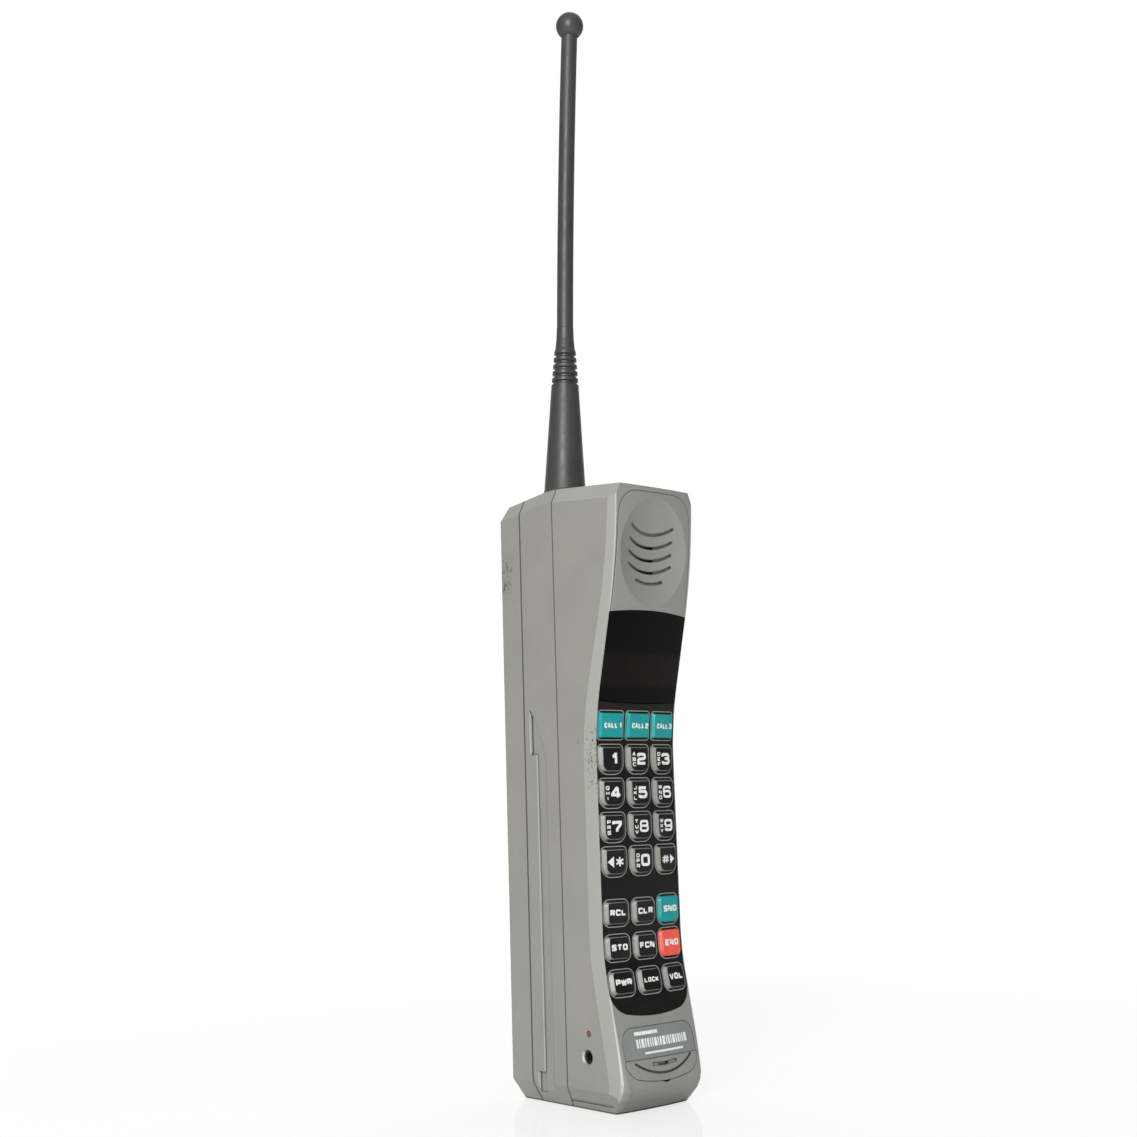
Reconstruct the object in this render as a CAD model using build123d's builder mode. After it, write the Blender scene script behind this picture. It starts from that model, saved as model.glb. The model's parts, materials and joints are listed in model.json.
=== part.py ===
"""Early mobile brick phone: two-part case, slim battery pack, keypad, ear dish and whip antenna.

Frame: X to the right when looking at the keypad, the keypad faces -Y, +Z up.
The origin is the bottom centre of the whole phone. All sizes are in millimetres.
"""
from build123d import *
import os
from math import cos, hypot, radians, sin, sqrt, tan

os.makedirs("parts", exist_ok=True)

# ------------------------------------------------------------------ driving dimensions
half_width = 22.5
back_y = 38.3
seam_y = 3.2                 # between the front and rear housings
battery_seam_y = 25.1        # between the rear housing and the battery pack
seam_gap = 0.1               # each side of a seam plane
ridge_z = 254.4              # where the two roof slopes meet before rounding
front_reach = 60.0           # how far cutting tools reach beyond the case
side_reach = 30.0            # and to each side
floor_reach = 1.0            # and below the floor

# Side view of the front face, from above the roof to below the floor, as (y, z) corners
front_corners = [
    (-38.87, 270.0),
    (-37.3, 220.2),
    (-21.1, 153.1),
    (-21.5, 59.0),
    (-32.0, 8.5),
    (-15.5, -8.0),
]
front_radii = [260.0, 130.0, 100.0, 9.0]
crown_radius = 171.0         # the front face is gently round from side to side
form_half_width = 24.0
bevel_half_width = 21.9      # where the front face ends and the soft edge bevel starts
bevel_depths = [3.2, 4.9, 6.9, 7.2, 8.0, 8.0]
# Radius of the upright rounding at each front corner, by height
corner_rounding = [
    (-4.0, 6.4),
    (0.0, 6.0),
    (3.0, 5.6),
    (6.0, 5.1),
    (9.0, 4.6),
    (12.0, 4.0),
    (15.0, 3.4),
    (20.0, 2.6),
    (28.0, 1.8),
    (42.0, 1.2),
    (60.0, 0.5),
]
chamfer_x = 19.45            # where the side chamfers of floor and roof start
floor_chamfer_top = 8.0
roof_chamfer_drop = 7.02     # over the width from chamfer_x to cut_half_width
cut_half_width = 22.9        # side cutting tools end just outside the case
case_top = 260.0             # above everything but the antenna

side_wall = 2.0
rear_side_wall = 3.0
front_wall = 3.6
floor_wall = 2.6
front_space_top = 246.4
rear_space_top = 250.4

# Boards and the openings made for them
board_half_width = 19.9
board_bottom = 30.0
board_top = 196.0
board_front_y = -7.2         # the logic board, from front to back
board_back_y = -5.6
board_rail_x = 19.3
board_rail_thickness = 1.0
display_half_width = 18.8
display_opening_bottom = 165.0
display_opening_top = 193.5
display_opening_back_y = -10.0
radio_half_width = 18.8
radio_front_y = 6.0
radio_back_y = 7.6
radio_bottom = 20.0
radio_top = 228.0
solder_gap = 0.05            # under everything that sits on the radio board

# Tongue of the rear housing that enters the front housing
tongue_front_y = 1.2
tongue_back_y = 3.6
tongue_fit = 0.1
tongue_inside_x = 19.1
tongue_opening_bottom = 3.8
tongue_opening_top = 245.3
rear_back_wall = 2.5

# Panels let into the front face
panel_gap = 0.2
panel_seat = 0.05            # gap under a panel
panel_thickness = 2.0
keypad_thickness = 1.4
keypad_recess = 0.5          # keypad panel, below the face of the case
mat_depth = 3.7              # silicone mat's front, below the keypad panel's surface
keypad_floor_y = -15.8       # flat back of the silicone mat

# Keys
column_pitch = 14.46
key_height = 1.3             # cap height above the panel
key_skirt = 2.4              # how far a key reaches below the panel's surface
key_slack = 0.2
call_row_z = 151.7
digit_row_z = [137.9, 124.2, 110.5, 96.8]
function_row_z = [76.6, 63.0, 49.5]

# Ear dish
dish_z = 222.5
dish_depth = 4.5
dish_radius_across = 51.7
dish_radius_along = 75.1
dish_wall = 2.0

# Antenna, measured along its own leaning axis
antenna_x = -5.0
antenna_y = 14.3
antenna_z = 254.6            # top of its seat on the roof
antenna_lean = 2.6           # degrees, towards the keypad
whip_bend_radius = 3200.0
stud_radius = 3.0
stud_length = 7.0
whip_radius = 3.65
ball_radius = 6.25


# ------------------------------------------------------------------ surface of the front face
def front_profile(z):
    """Return y and dy/dz of the front face in the middle plane at height z."""
    for index, radius in enumerate(front_radii):
        (y0, z0), (y1, z1), (y2, z2) = front_corners[index:index + 3]
        length_in = hypot(y1 - y0, z1 - z0)
        length_out = hypot(y2 - y1, z2 - z1)
        dir_in = Vector((y1 - y0) / length_in, (z1 - z0) / length_in)
        dir_out = Vector((y2 - y1) / length_out, (z2 - z1) / length_out)
        turn = radians(dir_in.get_angle(dir_out))
        reach = radius * tan(turn / 2)
        arc_top = z1 - dir_in.Y * reach
        arc_low = z1 + dir_out.Y * reach
        if z > arc_top:
            slope = dir_in.X / dir_in.Y
            return y1 + slope * (z - z1), slope
        if z > arc_low:
            side = 1 if dir_in.X * dir_out.Y - dir_in.Y * dir_out.X > 0 else -1
            centre_y = y1 - dir_in.X * reach - side * dir_in.Y * radius
            centre_z = arc_top + side * dir_in.X * radius
            rise = z - centre_z
            offset = sqrt(radius**2 - rise**2) * (1 if y1 > centre_y else -1)
            return centre_y + offset, -rise / offset
    slope = dir_out.X / dir_out.Y
    return y1 + slope * (z - z1), slope


def crown(x):
    """How far the front face falls back at distance x from the middle."""
    return x * x / (2 * crown_radius)


def face_plane(x, z):
    """Plane touching the front face at (x, z): local x to the right, local y up, normal outwards."""
    y, slope = front_profile(z)
    lean = x / crown_radius
    return Plane(origin=(x, y + crown(x), z), x_dir=(1, lean, 0), z_dir=(lean, -1, slope))


def key_plane(x, z):
    """Plane touching the keypad panel at (x, z)."""
    return face_plane(x, z).offset(-keypad_recess)


def front_outline(shift, depths, reach):
    """Closed line: the front profile with each corner moved back, and a straight line at y = reach."""
    corners = [(y + shift + depth, z) for (y, z), depth in zip(front_corners, depths)]
    FilletPolyline(*corners, radius=front_radii)
    Polyline(corners[-1], (reach, corners[-1][1]), (reach, corners[0][1]), corners[0])


def save(piece, name):
    """Label a finished sub-part and write its STEP file."""
    piece.part.label = name
    export_step(piece.part, f"parts/{name}.step")


# ------------------------------------------------------------------ shared forms (not exported)
no_depths = [0.0] * len(front_corners)

with BuildPart() as front_form:
    for x in (-form_half_width, 0.0, form_half_width):
        with BuildSketch(Plane.YZ.offset(x)):
            with BuildLine():
                front_outline(crown(x), no_depths, front_reach)
            make_face()
    loft()


def roof_line(drop):
    """Roof ridge seen from the side, lowered by drop."""
    corners = [(45.0, 250.65 - drop), (7.0, ridge_z - drop), (-50.0, 248.2 - drop)]
    return FilletPolyline(*corners, radius=60.0)


def corner_cutter(side):
    """What lies outside the upright rounding of one front corner."""
    front = -front_reach
    outside = side * form_half_width
    with BuildPart() as cutter:
        for z, radius in corner_rounding:
            middle = half_width - radius
            face_y = front_profile(z)[0] + crown(middle)
            with BuildSketch(Plane.XY.offset(z)):
                with BuildLine():
                    on_face = (side * middle, face_y)
                    on_side = (side * half_width, face_y + radius)
                    diagonal = radius * sqrt(0.5)
                    between = (side * (middle + diagonal), face_y + radius - diagonal)
                    ThreePointArc(on_face, between, on_side)
                    far = [(outside, face_y + radius), (outside, front), (side * middle, front)]
                    Polyline(on_side, *far, on_face)
                make_face()
        loft(ruled=True)
    return cutter.part


with BuildPart() as body_form:
    with BuildSketch(Plane.YZ.offset(-half_width)):
        with BuildLine():
            roof = roof_line(0)
            Polyline(roof @ 1, (-50.0, 0.0), (33.8, 0.0), (back_y, 7.5), (45.0, 7.5), roof @ 0)
        make_face()
        with BuildLine():
            back_top = [(back_y, 245.3), (35.4, 252.6), (35.4, case_top)]
            Polyline((back_y, 0), *back_top, (front_reach, case_top), (front_reach, 0), close=True)
        make_face(mode=Mode.SUBTRACT)
    extrude(amount=2 * half_width)
    add(front_form.part, mode=Mode.INTERSECT)
    # side chamfers along the floor
    with BuildSketch(Plane.XZ.offset(front_reach)):
        for side in (-1, 1):
            with BuildLine():
                Polyline(
                    (side * chamfer_x, 0),
                    (side * half_width, floor_chamfer_top),
                    (side * 30, floor_chamfer_top),
                    (side * 30, 0),
                    close=True,
                )
            make_face()
    extrude(amount=-2 * front_reach, mode=Mode.SUBTRACT)
    # side chamfers along the roof
    for side in (-1, 1):
        for x, drop in ((chamfer_x, 0.0), (cut_half_width, roof_chamfer_drop)):
            with BuildSketch(Plane.YZ.offset(side * x)):
                with BuildLine():
                    roof = roof_line(drop)
                    Polyline(roof @ 1, (-50.0, 300.0), (45.0, 300.0), roof @ 0)
                make_face()
        loft(ruled=True, mode=Mode.SUBTRACT)
    # soft bevel down both front edges
    overshoot = (cut_half_width - bevel_half_width) / (half_width - bevel_half_width)
    for side in (-1, 1):
        for x, growth in ((bevel_half_width, 0.0), (cut_half_width, overshoot)):
            depths = [depth * growth for depth in bevel_depths]
            with BuildSketch(Plane.YZ.offset(side * x)):
                with BuildLine():
                    front_outline(crown(bevel_half_width), depths, -front_reach)
                make_face()
        loft(ruled=True, mode=Mode.SUBTRACT)
    for side in (-1, 1):
        add(corner_cutter(side), mode=Mode.SUBTRACT)


def outline_prism(outline, back, front):
    """Outline drawn on the XZ plane, extruded from y = back forwards to y = front."""
    with BuildPart() as prism:
        with BuildSketch(Plane.XZ.offset(-back)):
            add(outline.sketch)
        extrude(amount=back - front)
    return prism.part


def front_layer(outline, top_depth, low_depth):
    """Skin that follows the front face between two depths, inside an outline."""
    with BuildPart() as layer:
        add(outline_prism(outline, 10.0, -front_reach))
        with Locations((0, top_depth, 0)):
            add(front_form.part, mode=Mode.INTERSECT)
        with Locations((0, low_depth, 0)):
            add(front_form.part, mode=Mode.SUBTRACT)
    return layer.part


def box_between(low, high, mode=Mode.ADD):
    """Box between two opposite corners, in the block that calls it."""
    with Locations(tuple((a + b) / 2 for a, b in zip(low, high))):
        Box(*[b - a for a, b in zip(low, high)], mode=mode)


def round_post(plane, low, high, radius, places=((0, 0),), mode=Mode.ADD):
    """Round posts standing on a plane between two heights, in the block that calls it."""
    with BuildSketch(plane.offset(low)) as rounds:
        with Locations(*places):
            Circle(radius)
    extrude(rounds.sketch, amount=high - low, mode=mode)


# Dish of the earpiece: a barrel whose axis stands in front of the face
dish_plane = face_plane(0, dish_z)
dish_side_plane = Plane(origin=dish_plane.origin, x_dir=dish_plane.y_dir, z_dir=(1, 0, 0))
dish_axis = Axis(dish_plane.origin + dish_plane.z_dir * (dish_radius_across - dish_depth), dish_plane.y_dir)


def dish_form(thickness):
    """Solid of the dish, grown outwards by a wall thickness."""
    reach = 30.0
    along = dish_radius_along + thickness
    deepest = -dish_depth - thickness
    rim = deepest + along - sqrt(along**2 - reach**2)
    top = dish_radius_across - dish_depth
    with BuildPart() as dish:
        with BuildSketch(dish_side_plane):
            with BuildLine():
                ThreePointArc((-reach, rim), (0, deepest), (reach, rim))
                Polyline((reach, rim), (reach, top), (-reach, top), (-reach, rim))
            make_face()
        revolve(axis=dish_axis)
    return dish.part


# ------------------------------------------------------------------ outlines on the front face
def ear_outline(gap):
    """Ear panel: round shoulders above, slightly flared, meeting the window along an arc."""
    with BuildSketch() as outline:
        with BuildLine():
            left = [(-21.1, 197.2), (-20.4, 232.0), (-19.2, 247.2)]
            Polyline(*left, (19.2, 247.2), (20.4, 232.0), (21.1, 197.2))
            ThreePointArc((21.1, 197.2), (0, 198.5), (-21.1, 197.2))
        make_face()
        fillet(outline.vertices().group_by(Axis.Y)[-1], 9.5)
        if gap:
            offset(amount=gap)
    return outline


def window_outline(gap):
    """Display window with a gently arched top and bottom."""
    with BuildSketch() as outline:
        with BuildLine():
            ThreePointArc((21.5, 197.0), (0, 198.3), (-21.5, 197.0))
            Line((-21.5, 197.0), (-21.5, 161.9))
            ThreePointArc((-21.5, 161.9), (0, 160.9), (21.5, 161.9))
            Line((21.5, 161.9), (21.5, 197.0))
        make_face()
        if gap:
            offset(amount=gap)
    return outline


def keypad_outline(gap):
    """Keypad panel: meets the window above, round corners and a shallow bow below."""
    with BuildSketch() as outline:
        with BuildLine():
            ThreePointArc((21.5, 161.7), (0, 160.7), (-21.5, 161.7))
            Polyline((-21.5, 161.7), (-21.5, 39.4))
            ThreePointArc((-21.5, 39.4), (0, 36.3), (21.5, 39.4))
            Line((21.5, 39.4), (21.5, 161.7))
        make_face()
        fillet(outline.vertices().group_by(Axis.Y)[0], 9.0)
        if gap:
            offset(amount=gap)
    return outline


def label_outline(gap):
    """Label plate under the keypad."""
    with BuildSketch() as outline:
        with BuildLine():
            right = [(19.0, 20.5), (19.3, 25.0), (18.6, 32.3)]
            Polyline(*right, (-18.6, 32.3), (-19.3, 25.0), (-19.0, 20.5), close=True)
        make_face()
        fillet(outline.vertices().group_by(Axis.Y)[-1], 5.0)
        if gap:
            offset(amount=gap)
    return outline


def mouth_outline(gap):
    """Mouthpiece cover: straight top against the label plate, bowl-shaped below."""
    with BuildSketch() as outline:
        with BuildLine():
            Polyline((19.3, 18.5), (19.3, 20.3), (-19.3, 20.3), (-19.3, 18.5))
            ThreePointArc((-19.3, 18.5), (-17.4, 15.2), (-13.6, 13.1))
            ThreePointArc((-13.6, 13.1), (0, 11.6), (13.6, 13.1))
            ThreePointArc((13.6, 13.1), (17.4, 15.2), (19.3, 18.5))
        make_face()
        if gap:
            offset(amount=gap)
    return outline


def smile(left, right, middle_z, end_rise, half_length, width):
    """Part of a curved slot, from x = left to x = right on an arc whose ends rise by end_rise."""
    radius = (half_length**2 + end_rise**2) / (2 * end_rise)
    xs = (left, (left + right) / 2, right)
    points = [(x, middle_z + radius - sqrt(radius**2 - x * x)) for x in xs]
    with BuildSketch() as slot:
        with BuildLine(mode=Mode.PRIVATE):
            path = ThreePointArc(*points)
        SlotArc(path, width)
    return slot


# ------------------------------------------------------------------ front housing
inside_x = half_width - side_wall
screw_places = [(side * 15.8, z) for side in (-1, 1) for z in (12.5, 242.0)]
screw_radius = 1.25
screw_tip_y = -8.5
boss_radius = 3.2
jack_y = -9.5
jack_z = 20.7
jack_hole_radius = 2.65
lens_y = -10.7
lens_z = 29.8
lens_radius = 1.25
mic_plane = face_plane(0, 16.0)
mic_boot_radius = 5.1

with BuildPart() as front_space:
    box_between((-inside_x, -front_reach, floor_wall), (inside_x, seam_y + 6.8, front_space_top))
    with Locations((0, front_wall, 0)):
        add(front_form.part, mode=Mode.INTERSECT)

with BuildPart() as screw_bosses:
    round_post(Plane.XZ, -(seam_y - 0.3), 50, boss_radius, screw_places)
    add(body_form.part, mode=Mode.INTERSECT)

with BuildPart() as dish_room:
    add(dish_form(dish_wall + 0.1))
    add(outline_prism(ear_outline(-0.6), 10, -front_reach), mode=Mode.INTERSECT)

with BuildPart() as front_housing:
    add(body_form.part)
    front_low = (-side_reach, -front_reach, -floor_reach)
    box_between(front_low, (side_reach, seam_y - seam_gap, case_top), mode=Mode.INTERSECT)
    add(front_space.part, mode=Mode.SUBTRACT)
    add(screw_bosses.part)
    # rails that carry the logic board
    for side in (-1, 1):
        rail_x = sorted((side * board_rail_x, side * (inside_x + 0.15)))
        rail_y = board_back_y + 0.1
        rail_back_y = rail_y + board_rail_thickness
        box_between((rail_x[0], rail_y, board_bottom), (rail_x[1], rail_back_y, board_top))
    # seats of the panels
    add(front_layer(ear_outline(panel_gap), -5, panel_thickness + panel_seat), mode=Mode.SUBTRACT)
    add(dish_room.part, mode=Mode.SUBTRACT)
    add(front_layer(window_outline(panel_gap), -5, panel_thickness + panel_seat), mode=Mode.SUBTRACT)
    add(outline_prism(keypad_outline(panel_gap), keypad_floor_y, -front_reach), mode=Mode.SUBTRACT)
    add(front_layer(label_outline(panel_gap), -5, 0.85), mode=Mode.SUBTRACT)
    add(front_layer(mouth_outline(panel_gap), -5, panel_thickness + panel_seat), mode=Mode.SUBTRACT)
    # opening behind the display window
    opening_low = (-display_half_width, -front_reach, display_opening_bottom)
    opening_high = (display_half_width, display_opening_back_y, display_opening_top)
    box_between(opening_low, opening_high, mode=Mode.SUBTRACT)
    # microphone, screw, indicator and jack holes
    round_post(mic_plane, -12, 1, mic_boot_radius + 0.05, mode=Mode.SUBTRACT)
    round_post(Plane.XZ, -10, -screw_tip_y + 1, screw_radius + 0.05, screw_places, mode=Mode.SUBTRACT)
    round_post(Plane.YZ, -25, -15, lens_radius + 0.05, ((lens_y, lens_z),), mode=Mode.SUBTRACT)
    round_post(Plane.YZ, -25, -15, jack_hole_radius, ((jack_y, jack_z),), mode=Mode.SUBTRACT)
    with BuildSketch(Plane.YZ.offset(-half_width)):
        with Locations((jack_y, jack_z)):
            Circle(3.2)
    extrude(amount=0.6, taper=42, mode=Mode.SUBTRACT)
save(front_housing, "front_housing")

# ------------------------------------------------------------------ earpiece
with BuildPart() as dish_wall_form:
    add(dish_form(dish_wall))
    add(front_layer(ear_outline(-0.8), 0, 14), mode=Mode.INTERSECT)

# slots: a shallow groove right across, cut through on the left part of the middle three
slot_width = 1.25
groove_depth = 0.9
slots = [  # middle height, rise of the ends, half-length, cut through from and to
    (230.2, 3.1, 11.6, None),
    (224.8, 3.1, 11.8, (-9.2, 3.4)),
    (219.5, 3.1, 11.8, (-9.3, 3.4)),
    (214.4, 3.1, 11.8, (-9.2, 3.6)),
    (209.7, 1.2, 7.2, None),
]

with BuildPart() as groove_floor:
    add(dish_form(groove_depth))

with BuildPart() as ear_grooves:
    for middle_z, rise, half_length, through in slots:
        groove = smile(-half_length, half_length, middle_z, rise, half_length, slot_width)
        add(outline_prism(groove, 0, -front_reach))
    add(groove_floor.part, mode=Mode.INTERSECT)

with BuildPart() as ear_cuts:
    for middle_z, rise, half_length, through in slots:
        if through:
            cut = smile(through[0], through[1], middle_z, rise, half_length, slot_width - 0.1)
            add(outline_prism(cut, 0, -front_reach))

with BuildPart() as ear_panel:
    add(front_layer(ear_outline(0), 0, panel_thickness))
    add(dish_wall_form.part)
    add(dish_form(0), mode=Mode.SUBTRACT)
    add(ear_grooves.part, mode=Mode.SUBTRACT)
    add(ear_cuts.part, mode=Mode.SUBTRACT)
save(ear_panel, "ear_panel")

speaker_radius = 14.5
speaker_front = -8.9         # along the dish's normal

with BuildPart() as speaker_gasket:
    round_post(dish_plane, speaker_front + 0.05, -2.0, speaker_radius)
    round_post(dish_plane, speaker_front + 0.05, 0, 11.8, mode=Mode.SUBTRACT)
    add(dish_form(dish_wall + 0.05), mode=Mode.SUBTRACT)
save(speaker_gasket, "speaker_gasket")

with BuildPart() as speaker:
    round_post(dish_plane, speaker_front - 2.2, speaker_front, speaker_radius)
    with BuildSketch(dish_plane.offset(speaker_front - 2.2)):
        Circle(12.5)
    extrude(amount=-2.6, taper=30)
    round_post(dish_plane, speaker_front - 9.0, speaker_front - 2.2, 8.5)
    with BuildSketch(dish_plane.offset(speaker_front)):
        Circle(11.5)
    extrude(amount=-1.5, taper=40, mode=Mode.SUBTRACT)
save(speaker, "speaker")

# ------------------------------------------------------------------ display
with BuildPart() as display_window:
    add(front_layer(window_outline(0), 0, panel_thickness))
save(display_window, "display_window")

display_plane = face_plane(0, 179.0)
digit_count = 8
digit_pitch = 4.3
digit_rise = -6.0            # of the digits' row below the middle of the window
display_depth = -7.2

with BuildPart() as display_board:
    with BuildSketch(display_plane.offset(display_depth)):
        Rectangle(37.0, 29.0)
    extrude(amount=-1.4)
save(display_board, "display_board")

with BuildPart() as display_digits:
    with BuildSketch(display_plane.offset(display_depth + 0.05)):
        with Locations((0, digit_rise)):
            with GridLocations(digit_pitch, 1, digit_count, 1):
                RectangleRounded(3.9, 8.0, 0.5)
    extrude(amount=3.4)
save(display_digits, "display_digits")

# ------------------------------------------------------------------ keys
# base width and height, upper and lower corner radius, top inset in width and height
key_styles = {
    "call": (12.4, 11.0, 1.0, 1.0, 0.75, 0.75),
    "digit": (12.2, 11.2, 1.7, 4.2, 1.5, 1.0),
    "function": (12.0, 9.8, 2.4, 2.8, 1.4, 0.9),
    "send": (12.2, 11.4, 2.4, 3.4, 0.8, 0.7),
}
rows = [(call_row_z, ["call_1", "call_2", "call_3"])]
rows += zip(digit_row_z, [["1", "2", "3"], ["4", "5", "6"], ["7", "8", "9"], ["star", "0", "hash"]])
rows += zip(function_row_z, [["rcl", "clr", "snd"], ["sto", "fcn", "end"], ["pwr", "lock", "vol"]])
words = {"rcl": "function", "clr": "function", "sto": "function", "fcn": "function", "pwr": "function"}
words |= {"lock": "function", "vol": "function", "snd": "send", "end": "send"}


def key_style(name):
    """Shape family of a key."""
    return "call" if name.startswith("call") else words.get(name, "digit")


keys = [
    (name, key_style(name), (column - 1) * column_pitch, row_z)
    for row_z, names in rows
    for column, name in enumerate(names)
]


def key_outline(style, inset_x, inset_y):
    """Rounded outline of a key, pulled in or let out on all sides."""
    width, height, upper, lower, _, _ = key_styles[style]
    shrink = max(inset_x, inset_y)
    with BuildSketch() as outline:
        Rectangle(width - 2 * inset_x, height - 2 * inset_y)
        fillet(outline.vertices().group_by(Axis.Y)[-1], max(upper - shrink, 0.5))
        fillet(outline.vertices().group_by(Axis.Y)[0], max(lower - shrink, 0.5))
    return outline.sketch


def key_block(style, x, z):
    """One key: skirt with retaining tabs, tapered cap and a hollow for the mat's dome."""
    plane = key_plane(x, z)
    width, height, _, _, inset_x, inset_y = key_styles[style]
    with BuildPart() as key:
        with BuildSketch(plane.offset(-key_skirt)) as skirt:
            add(key_outline(style, 0, 0))
        extrude(skirt.sketch, amount=key_skirt)
        with BuildSketch(plane.offset(-key_skirt)) as tabs:
            Rectangle(width - 5.0, height + 1.2)
        extrude(tabs.sketch, amount=0.7)
        with BuildSketch(plane) as base:
            add(key_outline(style, 0, 0))
        with BuildSketch(plane.offset(key_height)) as top:
            add(key_outline(style, inset_x, inset_y))
        loft([base.sketch, top.sketch])
        round_post(plane, -key_skirt, -0.2, 3.4, mode=Mode.SUBTRACT)
    return key


for name, style, x, z in keys:
    save(key_block(style, x, z), f"key_{name}")

# ------------------------------------------------------------------ keypad panel, mat and board
with BuildPart() as keypad_panel:
    add(front_layer(keypad_outline(0), keypad_recess, keypad_recess + keypad_thickness))
    for name, style, x, z in keys:
        with BuildSketch(key_plane(x, z).offset(-4)) as opening:
            add(key_outline(style, -key_slack, -key_slack))
        extrude(opening.sketch, amount=8, mode=Mode.SUBTRACT)
save(keypad_panel, "keypad_panel")

with BuildPart() as mat_form:
    add(outline_prism(keypad_outline(0), keypad_floor_y, -front_reach))
    with Locations((0, keypad_recess + mat_depth, 0)):
        add(front_form.part, mode=Mode.INTERSECT)

with BuildPart() as keypad_mat:
    add(mat_form.part)
    for name, style, x, z in keys:
        round_post(key_plane(x, z), -mat_depth - 0.3, -1.2, 2.9)
        round_post(Plane.XZ, -keypad_floor_y, -keypad_floor_y + 0.5, 2.2, ((x, z),), mode=Mode.SUBTRACT)
save(keypad_mat, "keypad_mat")

with BuildPart() as key_contacts:
    contact_places = [(x, z) for name, style, x, z in keys]
    round_post(Plane.XZ, -keypad_floor_y + 0.05, -keypad_floor_y + 0.4, 2.0, contact_places)
save(key_contacts, "key_contacts")

keypad_board_gap = 0.1
keypad_board_thickness = 1.6
keypad_board_bottom = 37.5
keypad_board_top = 160.0

with BuildPart() as keypad_board:
    board_y = keypad_floor_y + keypad_board_gap
    board_high = (board_half_width, board_y + keypad_board_thickness, keypad_board_top)
    box_between((-board_half_width, board_y, keypad_board_bottom), board_high)
save(keypad_board, "keypad_board")

# ------------------------------------------------------------------ mouthpiece, label, indicator, jack
with BuildPart() as label_plate:
    add(front_layer(label_outline(0), 0.1, 0.8))
save(label_plate, "label_plate")

with BuildPart() as mouthpiece_cover:
    add(front_layer(mouth_outline(0), 0, panel_thickness))
    add(front_layer(smile(-14.6, 15.6, 14.5, 4.7, 15.0, 0.9), -5, 0.8), mode=Mode.SUBTRACT)
    add(front_layer(smile(-5.5, 6.5, 17.8, 0.4, 6.0, 1.5), -5, 0.6), mode=Mode.SUBTRACT)
    add(front_layer(smile(-1.9, 2.9, 17.8, 0.4, 6.0, 1.5), -5, 5), mode=Mode.SUBTRACT)
save(mouthpiece_cover, "mouthpiece_cover")

with BuildPart() as microphone_boot:
    round_post(mic_plane, -7.8, -2.2, mic_boot_radius)
    round_post(mic_plane, -7.2, 0, 4.5, mode=Mode.SUBTRACT)
save(microphone_boot, "microphone_boot")

with BuildPart() as microphone:
    round_post(mic_plane, -7.1, -2.6, 4.4)
    round_post(mic_plane, -2.8, -2.3, 1.0)
save(microphone, "microphone")

with BuildPart() as indicator_lens:
    round_post(Plane.YZ, -half_width + 0.1, -19.2, lens_radius, ((lens_y, lens_z),))
    round_post(Plane.YZ, -inside_x + 0.05, -19.2, 2.4, ((lens_y, lens_z),))
save(indicator_lens, "indicator_lens")

jack_bore_radius = 1.8
jack_bore_length = 13.8
jack_mouth_x = -21.3

with BuildPart() as jack_socket:
    jack_place = ((jack_y, jack_z),)
    round_post(Plane.YZ, jack_mouth_x, -inside_x + 0.1, jack_hole_radius - 0.05, jack_place)
    round_post(Plane.YZ, -inside_x + 0.05, -6.2, 4.0, jack_place)
    bore_end_x = jack_mouth_x + jack_bore_length
    round_post(Plane.YZ, jack_mouth_x, bore_end_x, jack_bore_radius, jack_place, Mode.SUBTRACT)
save(jack_socket, "jack_socket")

# ------------------------------------------------------------------ logic board
chip_sizes = [(14, 14, 60), (20, 12, 90), (16, 16, 122), (12, 20, 154), (22, 10, 182)]
chip_thickness = 2.4
crystal_x = 14.0
crystal_z = 72.0
crystal_size = (6.0, 1.4, 12.0)

with BuildPart() as logic_board:
    board_low = (-board_half_width, board_front_y, board_bottom)
    box_between(board_low, (board_half_width, board_back_y, board_top))
    for width, height, z in chip_sizes:
        with Locations((0, board_front_y, z)):
            Box(width, chip_thickness, height, align=(Align.CENTER, Align.MAX, Align.CENTER))
    with Locations((-crystal_x, board_front_y, crystal_z), (crystal_x, board_front_y, crystal_z)):
        Box(*crystal_size, align=(Align.CENTER, Align.MAX, Align.CENTER))
save(logic_board, "logic_board")

# ------------------------------------------------------------------ rear housing
rear_inside_x = half_width - rear_side_wall
rear_wall_y = battery_seam_y - rear_back_wall
antenna_dir = Vector(0, -sin(radians(antenna_lean)), cos(radians(antenna_lean)))
antenna_plane = Plane(origin=(antenna_x, antenna_y, antenna_z), x_dir=(1, 0, 0), z_dir=antenna_dir)
antenna_side_plane = Plane(origin=antenna_plane.origin, x_dir=(1, 0, 0), z_dir=-antenna_plane.y_dir)
antenna_axis = Axis(antenna_plane.origin, antenna_dir)
bushing_radius = 5.5
latch_slot_low = (-5.6, 20.0, 235.0)
latch_slot_high = (5.6, 27.0, 243.4)
terminal_x = (-9.0, 0.0, 9.0)


def pack_form(shift):
    """Everything behind the battery seam, with the foot that curls under the rear housing."""
    seam = battery_seam_y + shift
    with BuildPart() as pack:
        with BuildSketch(Plane.YZ.offset(-30)):
            with BuildLine():
                Polyline((seam - 3.4, -1), (60, -1), (60, 270), (seam, 270), (seam, 12))
                foot = TangentArc((seam, 12), (seam - 3.0, 0), tangent=(0, -1))
                Line(foot @ 1, (seam - 3.4, -1))
            make_face()
        extrude(amount=60)
    return pack.part


# Charger rail in the side: a ramped recess with a guide strip beside it
rail_depth = 1.0
strip_groove_depth = 1.8

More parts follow.
